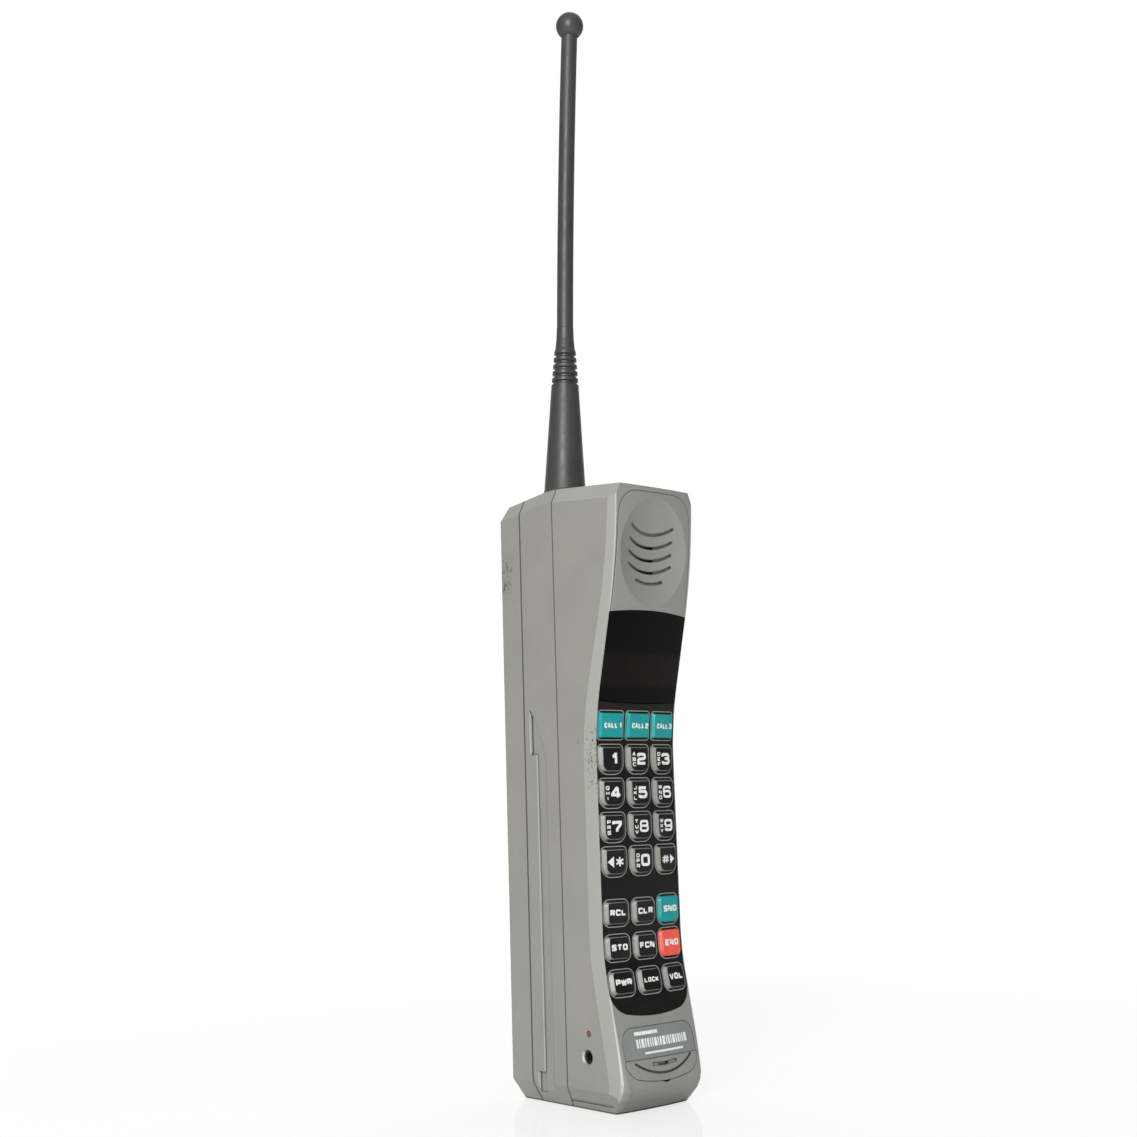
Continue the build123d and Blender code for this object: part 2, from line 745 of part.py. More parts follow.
with BuildPart() as rails:
    for side in (-1, 1):
        with BuildSketch(Plane.YZ.offset(side * 30)):
            with BuildLine():
                tip = [(21.5, 161.1), (19.0, 157.7), (16.1, 152.3), (13.4, 146.0), (11.6, 139.5)]
                Spline(*tip, (11.3, 134.0))
                channel = [(11.3, 134.0), (11.3, -1.0), (17.4, -1.0), (17.4, 141.5)]
                Polyline(*channel, (21.5, 141.5), (21.5, 161.1))
            make_face()
        extrude(amount=-side * (30 - half_width + rail_depth))
        with BuildSketch(Plane.YZ.offset(side * 30)):
            with Locations((20.9, 150.0)):
                Rectangle(1.1, 16.0)
            with Locations((19.5, 8.3)):
                Rectangle(4.2, 8.2)
        extrude(amount=-side * (30 - half_width + strip_groove_depth))

terminal_slot_width = 3.2
terminal_slot_bottom = 25.0
terminal_slot_top = 39.0

with BuildPart() as rear_housing:
    add(body_form.part)
    rear_low = (-side_reach, seam_y + seam_gap, -floor_reach)
    box_between(rear_low, (side_reach, front_reach, case_top), mode=Mode.INTERSECT)
    add(pack_form(-seam_gap), mode=Mode.SUBTRACT)
    round_post(antenna_plane, -12, 0, 9.8)
    rear_space_low = (-rear_inside_x, 0, 3.0)
    box_between(rear_space_low, (rear_inside_x, rear_wall_y, rear_space_top), mode=Mode.SUBTRACT)
    # tongue that enters the front housing
    tongue_low = (-inside_x + tongue_fit, tongue_front_y, floor_wall + tongue_fit)
    box_between(tongue_low, (inside_x - tongue_fit, tongue_back_y, front_space_top - tongue_fit))
    tongue_opening_high = (tongue_inside_x, tongue_back_y + 0.1, tongue_opening_top)
    box_between((-tongue_inside_x, 0, tongue_opening_bottom), tongue_opening_high, mode=Mode.SUBTRACT)
    # antenna boss and screw posts
    round_post(antenna_plane, -12, -2, 7.6)
    round_post(Plane.XZ, -rear_wall_y - 0.5, -seam_y - 0.3, boss_radius, screw_places)
    round_post(antenna_plane, -13, -0.8, bushing_radius + 0.05, mode=Mode.SUBTRACT)
    round_post(antenna_plane, -1, 1, 4.1, mode=Mode.SUBTRACT)
    round_post(Plane.XZ, -30, 0, screw_radius + 0.05, screw_places, mode=Mode.SUBTRACT)
    round_post(Plane.XZ, -30, -23.6, 2.7, screw_places, mode=Mode.SUBTRACT)
    # latch and terminal slots in the back wall
    box_between(latch_slot_low, latch_slot_high, mode=Mode.SUBTRACT)
    for x in terminal_x:
        slot_low = (x - terminal_slot_width / 2, rear_wall_y - 1, terminal_slot_bottom)
        slot_high = (x + terminal_slot_width / 2, battery_seam_y + 1, terminal_slot_top)
        box_between(slot_low, slot_high, mode=Mode.SUBTRACT)
    add(rails.part, mode=Mode.SUBTRACT)
save(rear_housing, "rear_housing")

strip_thickness = 0.4
strip_width = 2.4

with BuildPart() as battery_terminals:
    for x in terminal_x:
        with BuildSketch(Plane.YZ.offset(x - strip_width / 2)) as strip:
            with BuildLine():
                hump = [(21, 21.9), (27, 21.9), (31.4, 24.7), (32.6, 24.7), (37, 21.9), (43, 21.9)]
                front = Polyline(*[(y, z) for z, y in hump])
                back = Polyline(*[(y + strip_thickness, z) for z, y in reversed(hump)])
                Line(front @ 1, back @ 0)
                Line(back @ 1, front @ 0)
            make_face()
        extrude(strip.sketch, amount=strip_width)
save(battery_terminals, "battery_terminals")

# ------------------------------------------------------------------ radio section
radio_part_y = radio_back_y + solder_gap
can_half_width = 15.5
can_bottom = 118.0
can_top = 205.0
can_back_y = 17.2
can_wall = 0.6
filter_half_width = 14.5
filter_bottom = 42.0
filter_top = 104.0
filter_back_y = 18.7
tuner_radius = 2.0
tuner_height = 1.0
tuner_places = [(x, z) for x in (-7, 7) for z in (53, 73, 93)]

with BuildPart() as radio_board:
    radio_low = (-radio_half_width, radio_front_y, radio_bottom)
    box_between(radio_low, (radio_half_width, radio_back_y, radio_top))
save(radio_board, "radio_board")

with BuildPart() as shield_can:
    box_between((-can_half_width, radio_part_y, can_bottom), (can_half_width, can_back_y, can_top))
    can_inside_x = can_half_width - can_wall
    can_hollow_high = (can_inside_x, can_back_y - can_wall, can_top - can_wall)
    box_between((-can_inside_x, 0, can_bottom + can_wall), can_hollow_high, mode=Mode.SUBTRACT)
save(shield_can, "shield_can")

with BuildPart() as duplexer_filter:
    filter_low = (-filter_half_width, radio_part_y, filter_bottom)
    box_between(filter_low, (filter_half_width, filter_back_y, filter_top))
    round_post(Plane.XZ, -filter_back_y - tuner_height, -filter_back_y, tuner_radius, tuner_places)
save(duplexer_filter, "duplexer_filter")

# ------------------------------------------------------------------ screws
screw_head_y = 23.65         # underside of the heads
screw_top_y = 24.9

with BuildPart() as housing_screws:
    round_post(Plane.XZ, -screw_head_y - 0.2, -screw_tip_y, screw_radius, screw_places)
    round_post(Plane.XZ, -screw_top_y, -screw_head_y, 2.4, screw_places)
    with BuildSketch(Plane.XZ.offset(-screw_top_y)):
        with Locations(*screw_places):
            Rectangle(3.0, 0.6)
            Rectangle(0.6, 3.0)
    extrude(amount=0.7, mode=Mode.SUBTRACT)
save(housing_screws, "housing_screws")

# ------------------------------------------------------------------ battery pack
pack_front_y = battery_seam_y + seam_gap
pack_inside_x = 20.75
pack_back_y = back_y - 1.2
pack_hollow_bottom = 9.0
pack_hollow_top = 245.0
thumb_slot_half_width = 7.2
thumb_slot_bottom = 227.9
thumb_slot_top = 241.2
spring_shelf_half_width = 4.0
spring_shelf_front_y = 29.0
spring_shelf_bottom = 209.8
spring_shelf_top = 212.8
lid_half_width = 20.6
lid_thickness = 1.1
lid_fit = 0.2                # below and above the lid
hook_slot_half_width = 5.4
hook_slot_bottom = 235.2
hook_slot_top = 243.2
contact_width = 5.2
contact_thickness = 0.6
contact_bottom = 25.6
contact_top = 38.4
contact_fit = 0.1
cell_radius = 5.25
cell_length = 44.0
cell_pitch_z = 46.5
cell_bottom = 10.5
cell_places = [(x, 31.74) for x in (-11.6, 0, 11.6)]
cell_button_radius = 1.9
cell_button_height = 0.8

with BuildPart() as battery_case:
    add(body_form.part)
    add(pack_form(seam_gap), mode=Mode.INTERSECT)
    hollow_high = (pack_inside_x, pack_back_y, pack_hollow_top)
    box_between((-pack_inside_x, 0, pack_hollow_bottom), hollow_high, mode=Mode.SUBTRACT)
    thumb_low = (-thumb_slot_half_width, pack_back_y - 1, thumb_slot_bottom)
    thumb_high = (thumb_slot_half_width, back_y + 2, thumb_slot_top)
    box_between(thumb_low, thumb_high, mode=Mode.SUBTRACT)
    shelf_low = (-spring_shelf_half_width, spring_shelf_front_y, spring_shelf_bottom)
    box_between(shelf_low, (spring_shelf_half_width, pack_back_y + 0.5, spring_shelf_top))
save(battery_case, "battery_case")

with BuildPart() as battery_lid:
    lid_y = pack_front_y + 0.05
    lid_high = (lid_half_width, lid_y + lid_thickness, pack_hollow_top - lid_fit)
    box_between((-lid_half_width, lid_y, pack_hollow_bottom + lid_fit), lid_high)
    hook_slot_low = (-hook_slot_half_width, rear_wall_y, hook_slot_bottom)
    box_between(hook_slot_low, (hook_slot_half_width, 30, hook_slot_top), mode=Mode.SUBTRACT)
    for x in terminal_x:
        hole_x = contact_width / 2 + contact_fit
        hole_low = (x - hole_x, rear_wall_y, contact_bottom - contact_fit)
        box_between(hole_low, (x + hole_x, 30, contact_top + contact_fit), mode=Mode.SUBTRACT)
save(battery_lid, "battery_lid")

with BuildPart() as battery_contacts:
    contact_y = pack_front_y + 0.15
    for x in terminal_x:
        contact_high = (x + contact_width / 2, contact_y + contact_thickness, contact_top)
        box_between((x - contact_width / 2, contact_y, contact_bottom), contact_high)
save(battery_contacts, "battery_contacts")

with BuildPart() as battery_cells:
    for row in range(4):
        low = cell_bottom + row * cell_pitch_z
        high = low + cell_length
        round_post(Plane.XY, low, high, cell_radius, cell_places)
        round_post(Plane.XY, high, high + cell_button_height, cell_button_radius, cell_places)
save(battery_cells, "battery_cells")

latch_front_y = 34.9         # slider plate, from front to back
latch_back_y = 36.9
latch_bottom = 224.6
latch_top = 243.6
thumb_pad_back_y = 38.1
thumb_groove_depth = 0.4
thumb_groove_bottom = 232.6
thumb_groove_pitch = 1.7
thumb_groove_width = 0.7
hook_half_width = 5.0
hook_tip_y = 23.4
hook_bottom = 238.8
hook_top = 242.6
spring_seat_front_y = 31.0
spring_seat_top = 226.0

with BuildPart() as battery_latch:
    box_between((-9.5, latch_front_y, latch_bottom), (9.5, latch_back_y, latch_top))
    box_between((-6.9, latch_back_y, 231.4), (6.9, thumb_pad_back_y, 240.9))
    box_between((-hook_half_width, hook_tip_y, hook_bottom), (hook_half_width, latch_front_y, hook_top))
    box_between((-3.0, spring_seat_front_y, latch_bottom), (3.0, latch_front_y, spring_seat_top))
    for groove in range(5):
        z = thumb_groove_bottom + groove * thumb_groove_pitch
        groove_low = (-5.6, thumb_pad_back_y - thumb_groove_depth, z)
        groove_high = (5.6, thumb_pad_back_y + 0.1, z + thumb_groove_width)
        box_between(groove_low, groove_high, mode=Mode.SUBTRACT)
save(battery_latch, "battery_latch")

spring_y = 33.0
spring_low = 212.9
spring_high = 224.5
spring_radius = 2.0
spring_pitch = 1.57
wire_radius = 0.3

with BuildPart() as latch_spring:
    with BuildLine(Plane(origin=(0, spring_y, spring_low + wire_radius))) as coil:
        coil_height = spring_high - spring_low - 2 * wire_radius
        Helix(pitch=spring_pitch, height=coil_height, radius=spring_radius)
    with BuildSketch(Plane(origin=coil.line @ 0, z_dir=coil.line % 0)):
        Circle(wire_radius)
    sweep(is_frenet=True)
save(latch_spring, "latch_spring")

# ------------------------------------------------------------------ antenna
straight_length = 76.0       # from the seat to the top of the flexible rings
whip_length = 141.3          # from there to the ball's centre, along the bend
ring_low = 49.9
ring_pitch = 3.1
ring_count = 5


def whip_point(run):
    """Point on the whip's centre line, run millimetres above the straight boot, and its direction."""
    start = radians(antenna_lean)
    angle = start + run / whip_bend_radius
    foot = antenna_plane.origin + antenna_dir * straight_length
    forward = whip_bend_radius * (cos(start) - cos(angle))
    rise = whip_bend_radius * (sin(angle) - sin(start))
    return foot + Vector(0, -forward, rise), Vector(0, -sin(angle), cos(angle))


boot_profile = [(9.4, 0.3), (9.4, 1.6), (9.1, 2.4), (6.05, ring_low)]
for ring in range(ring_count):
    low = ring_low + ring * ring_pitch
    outer = 6.05 - 1.25 * (ring + 0.6) / ring_count
    boot_profile += [(outer - 0.9, low + 0.4), (outer - 0.9, low + 1.2)]
    boot_profile += [(outer, low + 1.6), (outer - 0.1, low + 2.9)]
boot_profile += [(4.35, 66.4), (3.9, 71.0), (3.75, straight_length)]

with BuildPart() as antenna_base:
    with BuildSketch(antenna_side_plane):
        with BuildLine():
            Polyline((0, 0.3), *boot_profile, (0, straight_length), close=True)
        make_face()
    revolve(axis=antenna_axis)
    round_post(antenna_plane, 0, straight_length + 1, 1.45, mode=Mode.SUBTRACT)
    round_post(antenna_plane, 0, 4.4, 4.05, mode=Mode.SUBTRACT)
    round_post(antenna_plane, 0, 1.4, 6.6, mode=Mode.SUBTRACT)
    round_post(antenna_plane, 60, straight_length + 1, 2.65, mode=Mode.SUBTRACT)
save(antenna_base, "antenna_base")


def whip_sweep(inner, outer, end_run):
    """Bent tube or rod along the whip, from the top of the boot."""
    with BuildPart() as bent:
        with BuildLine() as bend:
            ThreePointArc(whip_point(0)[0], whip_point(end_run / 2)[0], whip_point(end_run)[0])
        with BuildSketch(Plane(origin=whip_point(0)[0], x_dir=(1, 0, 0), z_dir=antenna_dir)):
            Circle(outer)
            if inner:
                Circle(inner, mode=Mode.SUBTRACT)
        sweep(path=bend.line)
    return bent.part


conductor_radius = 0.8
with BuildPart() as antenna_whip:
    round_post(antenna_plane, 60.1, straight_length, 2.6)
    round_post(antenna_plane, 60, straight_length, conductor_radius + 0.05, mode=Mode.SUBTRACT)
    add(whip_sweep(conductor_radius + 0.05, whip_radius, whip_length))
save(antenna_whip, "antenna_whip")

tip, tip_dir = whip_point(whip_length)
tip_plane = Plane(origin=tip, x_dir=(1, 0, 0), z_dir=tip_dir)
with BuildPart() as antenna_ball:
    with Locations(tip_plane):
        Sphere(ball_radius)
    round_post(tip_plane, -8, 0.1, whip_radius + 0.05, mode=Mode.SUBTRACT)
save(antenna_ball, "antenna_ball")

with BuildPart() as antenna_core:
    round_post(antenna_plane, -stud_length, 0.3, stud_radius)
    round_post(antenna_plane, 0.2, 4.2, 3.95)
    round_post(antenna_plane, 4.0, 59.0, 1.4)
    round_post(antenna_plane, 58.0, straight_length, conductor_radius)
    add(whip_sweep(0, conductor_radius, whip_length - 1))
save(antenna_core, "antenna_core")

with BuildPart() as antenna_seal_ring:
    round_post(antenna_plane, 0.05, 1.25, 6.4)
    round_post(antenna_plane, 0, 2, 4.2, mode=Mode.SUBTRACT)
save(antenna_seal_ring, "antenna_seal_ring")

with BuildPart() as antenna_bushing:
    round_post(antenna_plane, -10, -0.9, bushing_radius)
    round_post(antenna_plane, -11, 0, stud_radius + 0.05, mode=Mode.SUBTRACT)
save(antenna_bushing, "antenna_bushing")
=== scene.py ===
import itertools
import json
import math

import bmesh
import bpy
from mathutils import Matrix, Vector
from mathutils.bvhtree import BVHTree


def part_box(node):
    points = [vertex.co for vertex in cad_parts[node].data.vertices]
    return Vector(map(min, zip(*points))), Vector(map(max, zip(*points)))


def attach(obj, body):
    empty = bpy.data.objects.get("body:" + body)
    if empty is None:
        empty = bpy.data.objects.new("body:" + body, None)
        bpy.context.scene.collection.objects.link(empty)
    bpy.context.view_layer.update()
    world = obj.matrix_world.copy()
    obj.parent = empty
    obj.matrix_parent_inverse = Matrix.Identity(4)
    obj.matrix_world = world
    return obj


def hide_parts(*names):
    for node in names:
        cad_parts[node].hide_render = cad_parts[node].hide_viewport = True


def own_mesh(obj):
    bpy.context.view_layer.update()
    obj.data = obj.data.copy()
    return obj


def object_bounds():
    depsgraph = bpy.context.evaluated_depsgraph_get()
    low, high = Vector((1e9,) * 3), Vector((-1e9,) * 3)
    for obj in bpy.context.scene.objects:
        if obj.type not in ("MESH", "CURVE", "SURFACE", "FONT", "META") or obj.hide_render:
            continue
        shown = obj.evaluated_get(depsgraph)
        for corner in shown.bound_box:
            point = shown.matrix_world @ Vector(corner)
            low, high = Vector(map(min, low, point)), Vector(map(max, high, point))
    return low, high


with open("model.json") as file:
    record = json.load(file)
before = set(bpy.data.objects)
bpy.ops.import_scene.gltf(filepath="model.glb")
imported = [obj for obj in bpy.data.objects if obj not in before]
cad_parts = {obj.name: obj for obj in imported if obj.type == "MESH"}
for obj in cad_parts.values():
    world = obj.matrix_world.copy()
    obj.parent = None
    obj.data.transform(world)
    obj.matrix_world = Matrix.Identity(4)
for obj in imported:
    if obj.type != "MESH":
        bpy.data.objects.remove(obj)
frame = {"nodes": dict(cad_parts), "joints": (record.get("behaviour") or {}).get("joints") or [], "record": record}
cad_low, cad_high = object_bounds()
nodes = frame["nodes"]
joints = {joint["name"]: joint for joint in frame["joints"]}
slot_of = {part["node"]: part["material_slot"] for part in frame["record"]["subparts"]}

MM = 0.001
front_low, front_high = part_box("front_housing")
pack_low, pack_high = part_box("battery_case")
window_low, window_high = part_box("display_window")
label_low, label_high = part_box("label_plate")
call_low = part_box("key_call_1")[0]
digit_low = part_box("key_1")[0]
case_height = front_high.z

# ---------------------------------------------------------------- where the case's paint changes, and where highlights and shade are painted on it
FRONT_SEAM_Y = 3.2 * MM
FRONT_SEAM_HALF = 0.45 * MM
PACK_SEAM_Y = 25.1 * MM
PACK_SEAM_HALF = 0.55 * MM
FOOT_HEIGHT = 12.0 * MM          # below this the pack's seam curls forward
FOOT_RADIUS = 25.5 * MM          # of that curl
RIM_START = 21.2 * MM            # from the middle plane to the front's outer rim
RIM_SOFTNESS = 0.2 * MM
CREVICE_REACH = 0.0012
bevel_y = call_low.y + 4.5 * MM
bevel_x = front_low.x + 0.4 * MM
back_edge_y = pack_high.y - 3 * MM
# rubbed places: point, reach in metres and how crowded the rubs are
WORN_SPOTS = [
    ((bevel_x, bevel_y, call_low.z + 1 * MM), 0.0065, 0.08),
    ((bevel_x, bevel_y, digit_low.z + 6 * MM), 0.0075, 0.09),
    ((bevel_x, bevel_y, digit_low.z - 3 * MM), 0.006, 0.06),
    ((front_low.x, bevel_y + 9 * MM, call_low.z - 1 * MM), 0.004, 0.03),
    ((pack_low.x, back_edge_y, 0.88 * case_height), 0.0065, 0.09),
    ((pack_low.x, back_edge_y, 0.85 * case_height), 0.0055, 0.12),
    ((pack_low.x, pack_high.y - 7 * MM, 0.90 * case_height), 0.004, 0.05),
    ((pack_low.x, pack_low.y + 2 * MM, 0.76 * case_height), 0.004, 0.0),
    ((front_high.x, call_low.y + 3 * MM, 0.9 * case_height), 0.006, 0.0),
    ((pack_high.x - 1 * MM, pack_high.y - 2 * MM, 0.3 * case_height), 0.008, 0.02),
    ((0.25 * pack_high.x, pack_high.y, 0.06 * case_height), 0.009, 0.02),
]

# how squarely a face looks sideways or forward, where each effect starts and where it is full
BEVEL_SIDEWAYS = (0.85, 0.95)
BEVEL_FORWARD = (0.015, 0.05)
RIM_FORWARD = (0.4, 0.7)
SEAM_FORWARD = (0.9, 0.6)
# how strongly each effect covers the grey
BEVEL_COVER = 0.55
RIM_COVER = 0.8
FRONT_SEAM_COVER = 0.8           # against the pack's seam
GAP_SHADE_COVER = 0.92
WORN_COVER = 0.75
WORN_ROUGHNESS = 0.15            # added where the paint is rubbed
WORN_GRAIN = 0.6                 # of the grain's height lost there
RUB_EDGE = (0.62, 0.68)          # noise values where an uncrowded rub starts and is full
# pale grains and dark pits: size in metres, noise values where they start and are full, cover, shade
SPECKS = [(0.0007, 0.58, 0.75, 0.32, 1.45), (0.0009, 0.40, 0.26, 0.28, 0.62)]

# ---------------------------------------------------------------- keys and window: where they change
KEY_TOP_FACING = 0.985           # cosine from which a face counts as the flat top
KEY_LEFT_FACING = (0.2, 0.55)    # the same for the left wall, painted as lit
KEY_SHADOW = 0.06                # painted shade on the other walls
# depths below the top where the pale band on the walls, a painted edge highlight, starts and is full
KEY_RIM_DEPTHS = (0.45 * MM, 0.25 * MM)
GLOW_BOTTOM = (0.14, 0.22)       # shares of the window's height
GLOW_TOP = (0.58, 0.50)
BOARD_GRID = 260.0               # tracks to the metre
BOARD_TRACK = 0.06               # share of the grid that is track

# ---------------------------------------------------------------- colours, in linear light
CASE_GREY = (0.246, 0.244, 0.224)
# painted highlights on the front bevels and rims, and painted shade in the seams and gaps
BEVEL_HIGHLIGHT = (0.36, 0.375, 0.34)
RIM_HIGHLIGHT = (0.52, 0.54, 0.50)
GAP_SHADE_GREY = (0.02, 0.02, 0.018)
RUB_GREY = (0.035, 0.033, 0.030)
KEY_GREY = (0.24, 0.238, 0.215)
# painted edge highlight round the top of the grey keys' walls
KEY_RIM_HIGHLIGHT = (0.21, 0.21, 0.19)
KEY_BLACK = (0.0065, 0.0063, 0.0060)
KEY_TEAL = (0.005, 0.275, 0.285)
KEY_RED = (0.78, 0.095, 0.07)
SMOKE = (0.0016, 0.0015, 0.0013)
SMOKE_GLOW = (0.0085, 0.0068, 0.0036)
SOLDER_MASK = (0.010, 0.085, 0.035)
COPPER_TRACK = (0.05, 0.22, 0.09)
SLEEVE_DARK = (0.008, 0.10, 0.16)
SLEEVE_PALE = (0.015, 0.15, 0.22)
CELL_END = (0.55, 0.55, 0.52)
INK_RUBBED = (0.62, 0.62, 0.60)
INK_WHITE = (0.86, 0.86, 0.84)

# ---------------------------------------------------------------- shader building blocks
NOISE_ROUGHNESS = 0.6
NOISE_SPREAD = (0.3, 0.7)        # where most of the noise's values lie
NEAR_CORE = 0.25                 # share of a spot's reach that is at full strength
LINE_CORE = 0.5                  # the same for a line
OPEN_SKY = (0.45, 0.85)          # unblocked share of the view, in a gap and in the open
GAP_SAMPLES = 8
EDGE_SAMPLES = 6
MIX_VALUE_A, MIX_VALUE_B = 2, 3  # sockets that mix plain values
MIX_COLOUR_INPUTS = (6, 7)       # and colours
MIX_COLOUR_OUTPUT = 2


def new_material(name, **values):
    """Material with one Principled shader whose plain sockets are set directly."""
    material = bpy.data.materials.new(name)
    material.use_nodes = True
    tree = material.node_tree
    tree.nodes.clear()
    shader = tree.nodes.new("ShaderNodeBsdfPrincipled")
    output = tree.nodes.new("ShaderNodeOutputMaterial")
    tree.links.new(shader.outputs["BSDF"], output.inputs["Surface"])
    for socket, value in values.items():
        shader.inputs[socket.replace("_", " ").title().replace("Ior", "IOR")].default_value = value
    return material, tree, shader


def put(tree, kind, inputs=None, **settings):
    """New node with its settings and inputs; an input is a value or another node's output."""
    made = tree.nodes.new("ShaderNode" + kind)
    for key, value in settings.items():
        setattr(made, key, value)
    for socket, value in (inputs or {}).items():
        if isinstance(value, bpy.types.NodeSocket):
            tree.links.new(value, made.inputs[socket])
        else:
            made.inputs[socket].default_value = value
    return made


def rgba(colour):
    """Colour with full alpha."""
    return (*colour, 1.0)


def shade(colour, factor):
    """Colour made lighter or darker."""
    return [c * factor for c in colour]


def object_place(tree):
    """Coordinates in the phone's frame, which ride with the piece."""
    return put(tree, "TexCoord").outputs["Object"]


def object_normal(tree):
    """Direction the surface faces, in the same frame."""
    return put(tree, "TexCoord").outputs["Normal"]


def split(tree, vector):
    """The X, Y and Z parts of a vector."""
    return put(tree, "SeparateXYZ", {0: vector}).outputs


def along(tree, vector, direction):
    """Length of a vector along a direction."""
    return put(tree, "VectorMath", {0: vector, 1: direction}, operation="DOT_PRODUCT").outputs["Value"]


def math_node(tree, operation, first, second=0.0):
    """Maths on one or two values."""
    return put(tree, "Math", {0: first, 1: second}, operation=operation).outputs[0]


def times(tree, first, second):
    """Product of two values."""
    return math_node(tree, "MULTIPLY", first, second)


def larger(tree, first, second):
    """The larger of two values."""
    return math_node(tree, "MAXIMUM", first, second)


def ramp(tree, value, low, high, out_low=0.0, out_high=1.0):
    """Smooth change from out_low to out_high as value goes from low to high."""
    inputs = {"Value": value, "From Min": low, "From Max": high, "To Min": out_low, "To Max": out_high}
    return put(tree, "MapRange", inputs, interpolation_type="SMOOTHSTEP").outputs["Result"]


def noise(tree, size, detail=3.0, stretch=(1, 1, 1)):
    """Noise between 0 and 1 whose features are about size metres across."""
    scaled = put(tree, "Mapping", {"Vector": object_place(tree), "Scale": stretch}).outputs["Vector"]
    inputs = {"Vector": scaled, "Scale": 1.0 / size, "Detail": detail, "Roughness": NOISE_ROUGHNESS}
    return put(tree, "TexNoise", inputs).outputs["Fac"]


def uneven(tree, size, low=0.0, high=1.0, detail=3.0):
    """Value that wanders between low and high over patches of about size metres."""
    return ramp(tree, noise(tree, size, detail), *NOISE_SPREAD, low, high)


def mix_colour(tree, share, first, second):
    """Blend of two colours; each is a plain colour or a socket."""
    made = put(tree, "Mix", {"Factor": share}, data_type="RGBA")
    for index, colour in zip(MIX_COLOUR_INPUTS, (first, second)):
        if isinstance(colour, bpy.types.NodeSocket):
            tree.links.new(colour, made.inputs[index])
        else:
            made.inputs[index].default_value = rgba(colour)
    return made.outputs[MIX_COLOUR_OUTPUT]


def mottled(tree, share, colour, tint):
    """Colour that is darker by tint where share is zero and lighter by it where share is one."""
    return mix_colour(tree, share, shade(colour, 1 - tint), shade(colour, 1 + tint))


def near(tree, point, reach):
    """One at a point, falling to zero at a distance of reach."""
    away = put(tree, "VectorMath", {0: object_place(tree), 1: point}, operation="DISTANCE")
    return ramp(tree, away.outputs["Value"], reach, reach * NEAR_CORE)


def line_near(tree, value, level, half_width):
    """One where a value is close to a level, fading out at half_width from it."""
    away = math_node(tree, "ABSOLUTE", math_node(tree, "SUBTRACT", value, level))
    return ramp(tree, away, half_width, half_width * LINE_CORE)


def crevice(tree, reach):
    """One in narrow gaps and slots up to reach metres wide, zero in the open."""
    sky = put(tree, "AmbientOcclusion", {"Distance": reach}, samples=GAP_SAMPLES, only_local=False)
    return ramp(tree, sky.outputs["AO"], *OPEN_SKY, 1.0, 0.0)


def dress(tree, shader, colour, roughness):
    """Give a shader its colour and roughness."""
    tree.links.new(colour, shader.inputs["Base Color"])
    tree.links.new(roughness, shader.inputs["Roughness"])


def soft_bump(tree, shader, height, depth, edge=0.0):
    """Bump of a real depth in metres, over corners rounded off by an edge radius."""
    inputs = {"Height": height, "Distance": depth}
    if edge:
        inputs["Normal"] = put(tree, "Bevel", {"Radius": edge}, samples=EDGE_SAMPLES).outputs["Normal"]
    made = put(tree, "Bump", inputs)
    tree.links.new(made.outputs["Normal"], shader.inputs["Normal"])


# ---------------------------------------------------------------- materials
# the sizes, depths and edge radii of the patterns are in metres
def moulded(name, colour, size=0.0007, depth=0.00003, rough=0.45, edge=0.0004, tint=0.10, **values):
    """Moulded plastic or rubber: fine grain, slow colour drift, uneven sheen and soft edges."""
    material, tree, shader = new_material(name, **values)
    tone = mottled(tree, uneven(tree, 0.02, detail=2.0), colour, tint)
    dress(tree, shader, tone, uneven(tree, 0.006, rough - 0.05, rough + 0.07))
    soft_bump(tree, shader, noise(tree, size, 2.0), depth, edge)
    return material


def metal(name, colour, rough=0.28, brushed=(1, 1, 12)):
    """Plated or turned metal with fine drawn lines and dulled patches."""
    material, tree, shader = new_material(name, metallic=1.0)
    lines = noise(tree, 0.002, 4.0, brushed)
    tone = mix_colour(tree, noise(tree, 0.008), shade(colour, 0.92), colour)
    dress(tree, shader, tone, ramp(tree, lines, *NOISE_SPREAD, rough, rough + 0.16))
    soft_bump(tree, shader, lines, 0.000008, 0.0001)
    return material


def speckled_grey(tree):
    """The case's grey with slow drift, paler grains and dark pits."""
    tone = mix_colour(tree, uneven(tree, 0.03), shade(CASE_GREY, 0.965), shade(CASE_GREY, 1.03))
    for size, start, full, cover, factor in SPECKS:
        specks = ramp(tree, noise(tree, size, 2.0), start, full)
        tone = mix_colour(tree, times(tree, specks, cover), tone, shade(CASE_GREY, factor))
    return tone


def painted_bevel_highlights(tree, tone, place, sideways, forward):
    """Painted highlights: paler grey on the front bevels and on their outer rims."""
    bevel = times(tree, ramp(tree, sideways, *BEVEL_SIDEWAYS), ramp(tree, forward, *BEVEL_FORWARD))
    tone = mix_colour(tree, times(tree, bevel, BEVEL_COVER), tone, BEVEL_HIGHLIGHT)
    from_middle = math_node(tree, "ABSOLUTE", place["X"])
    outer = ramp(tree, from_middle, RIM_START, RIM_START + RIM_SOFTNESS)
    rim = times(tree, outer, ramp(tree, forward, *RIM_FORWARD))
    return mix_colour(tree, times(tree, rim, RIM_COVER), tone, RIM_HIGHLIGHT)


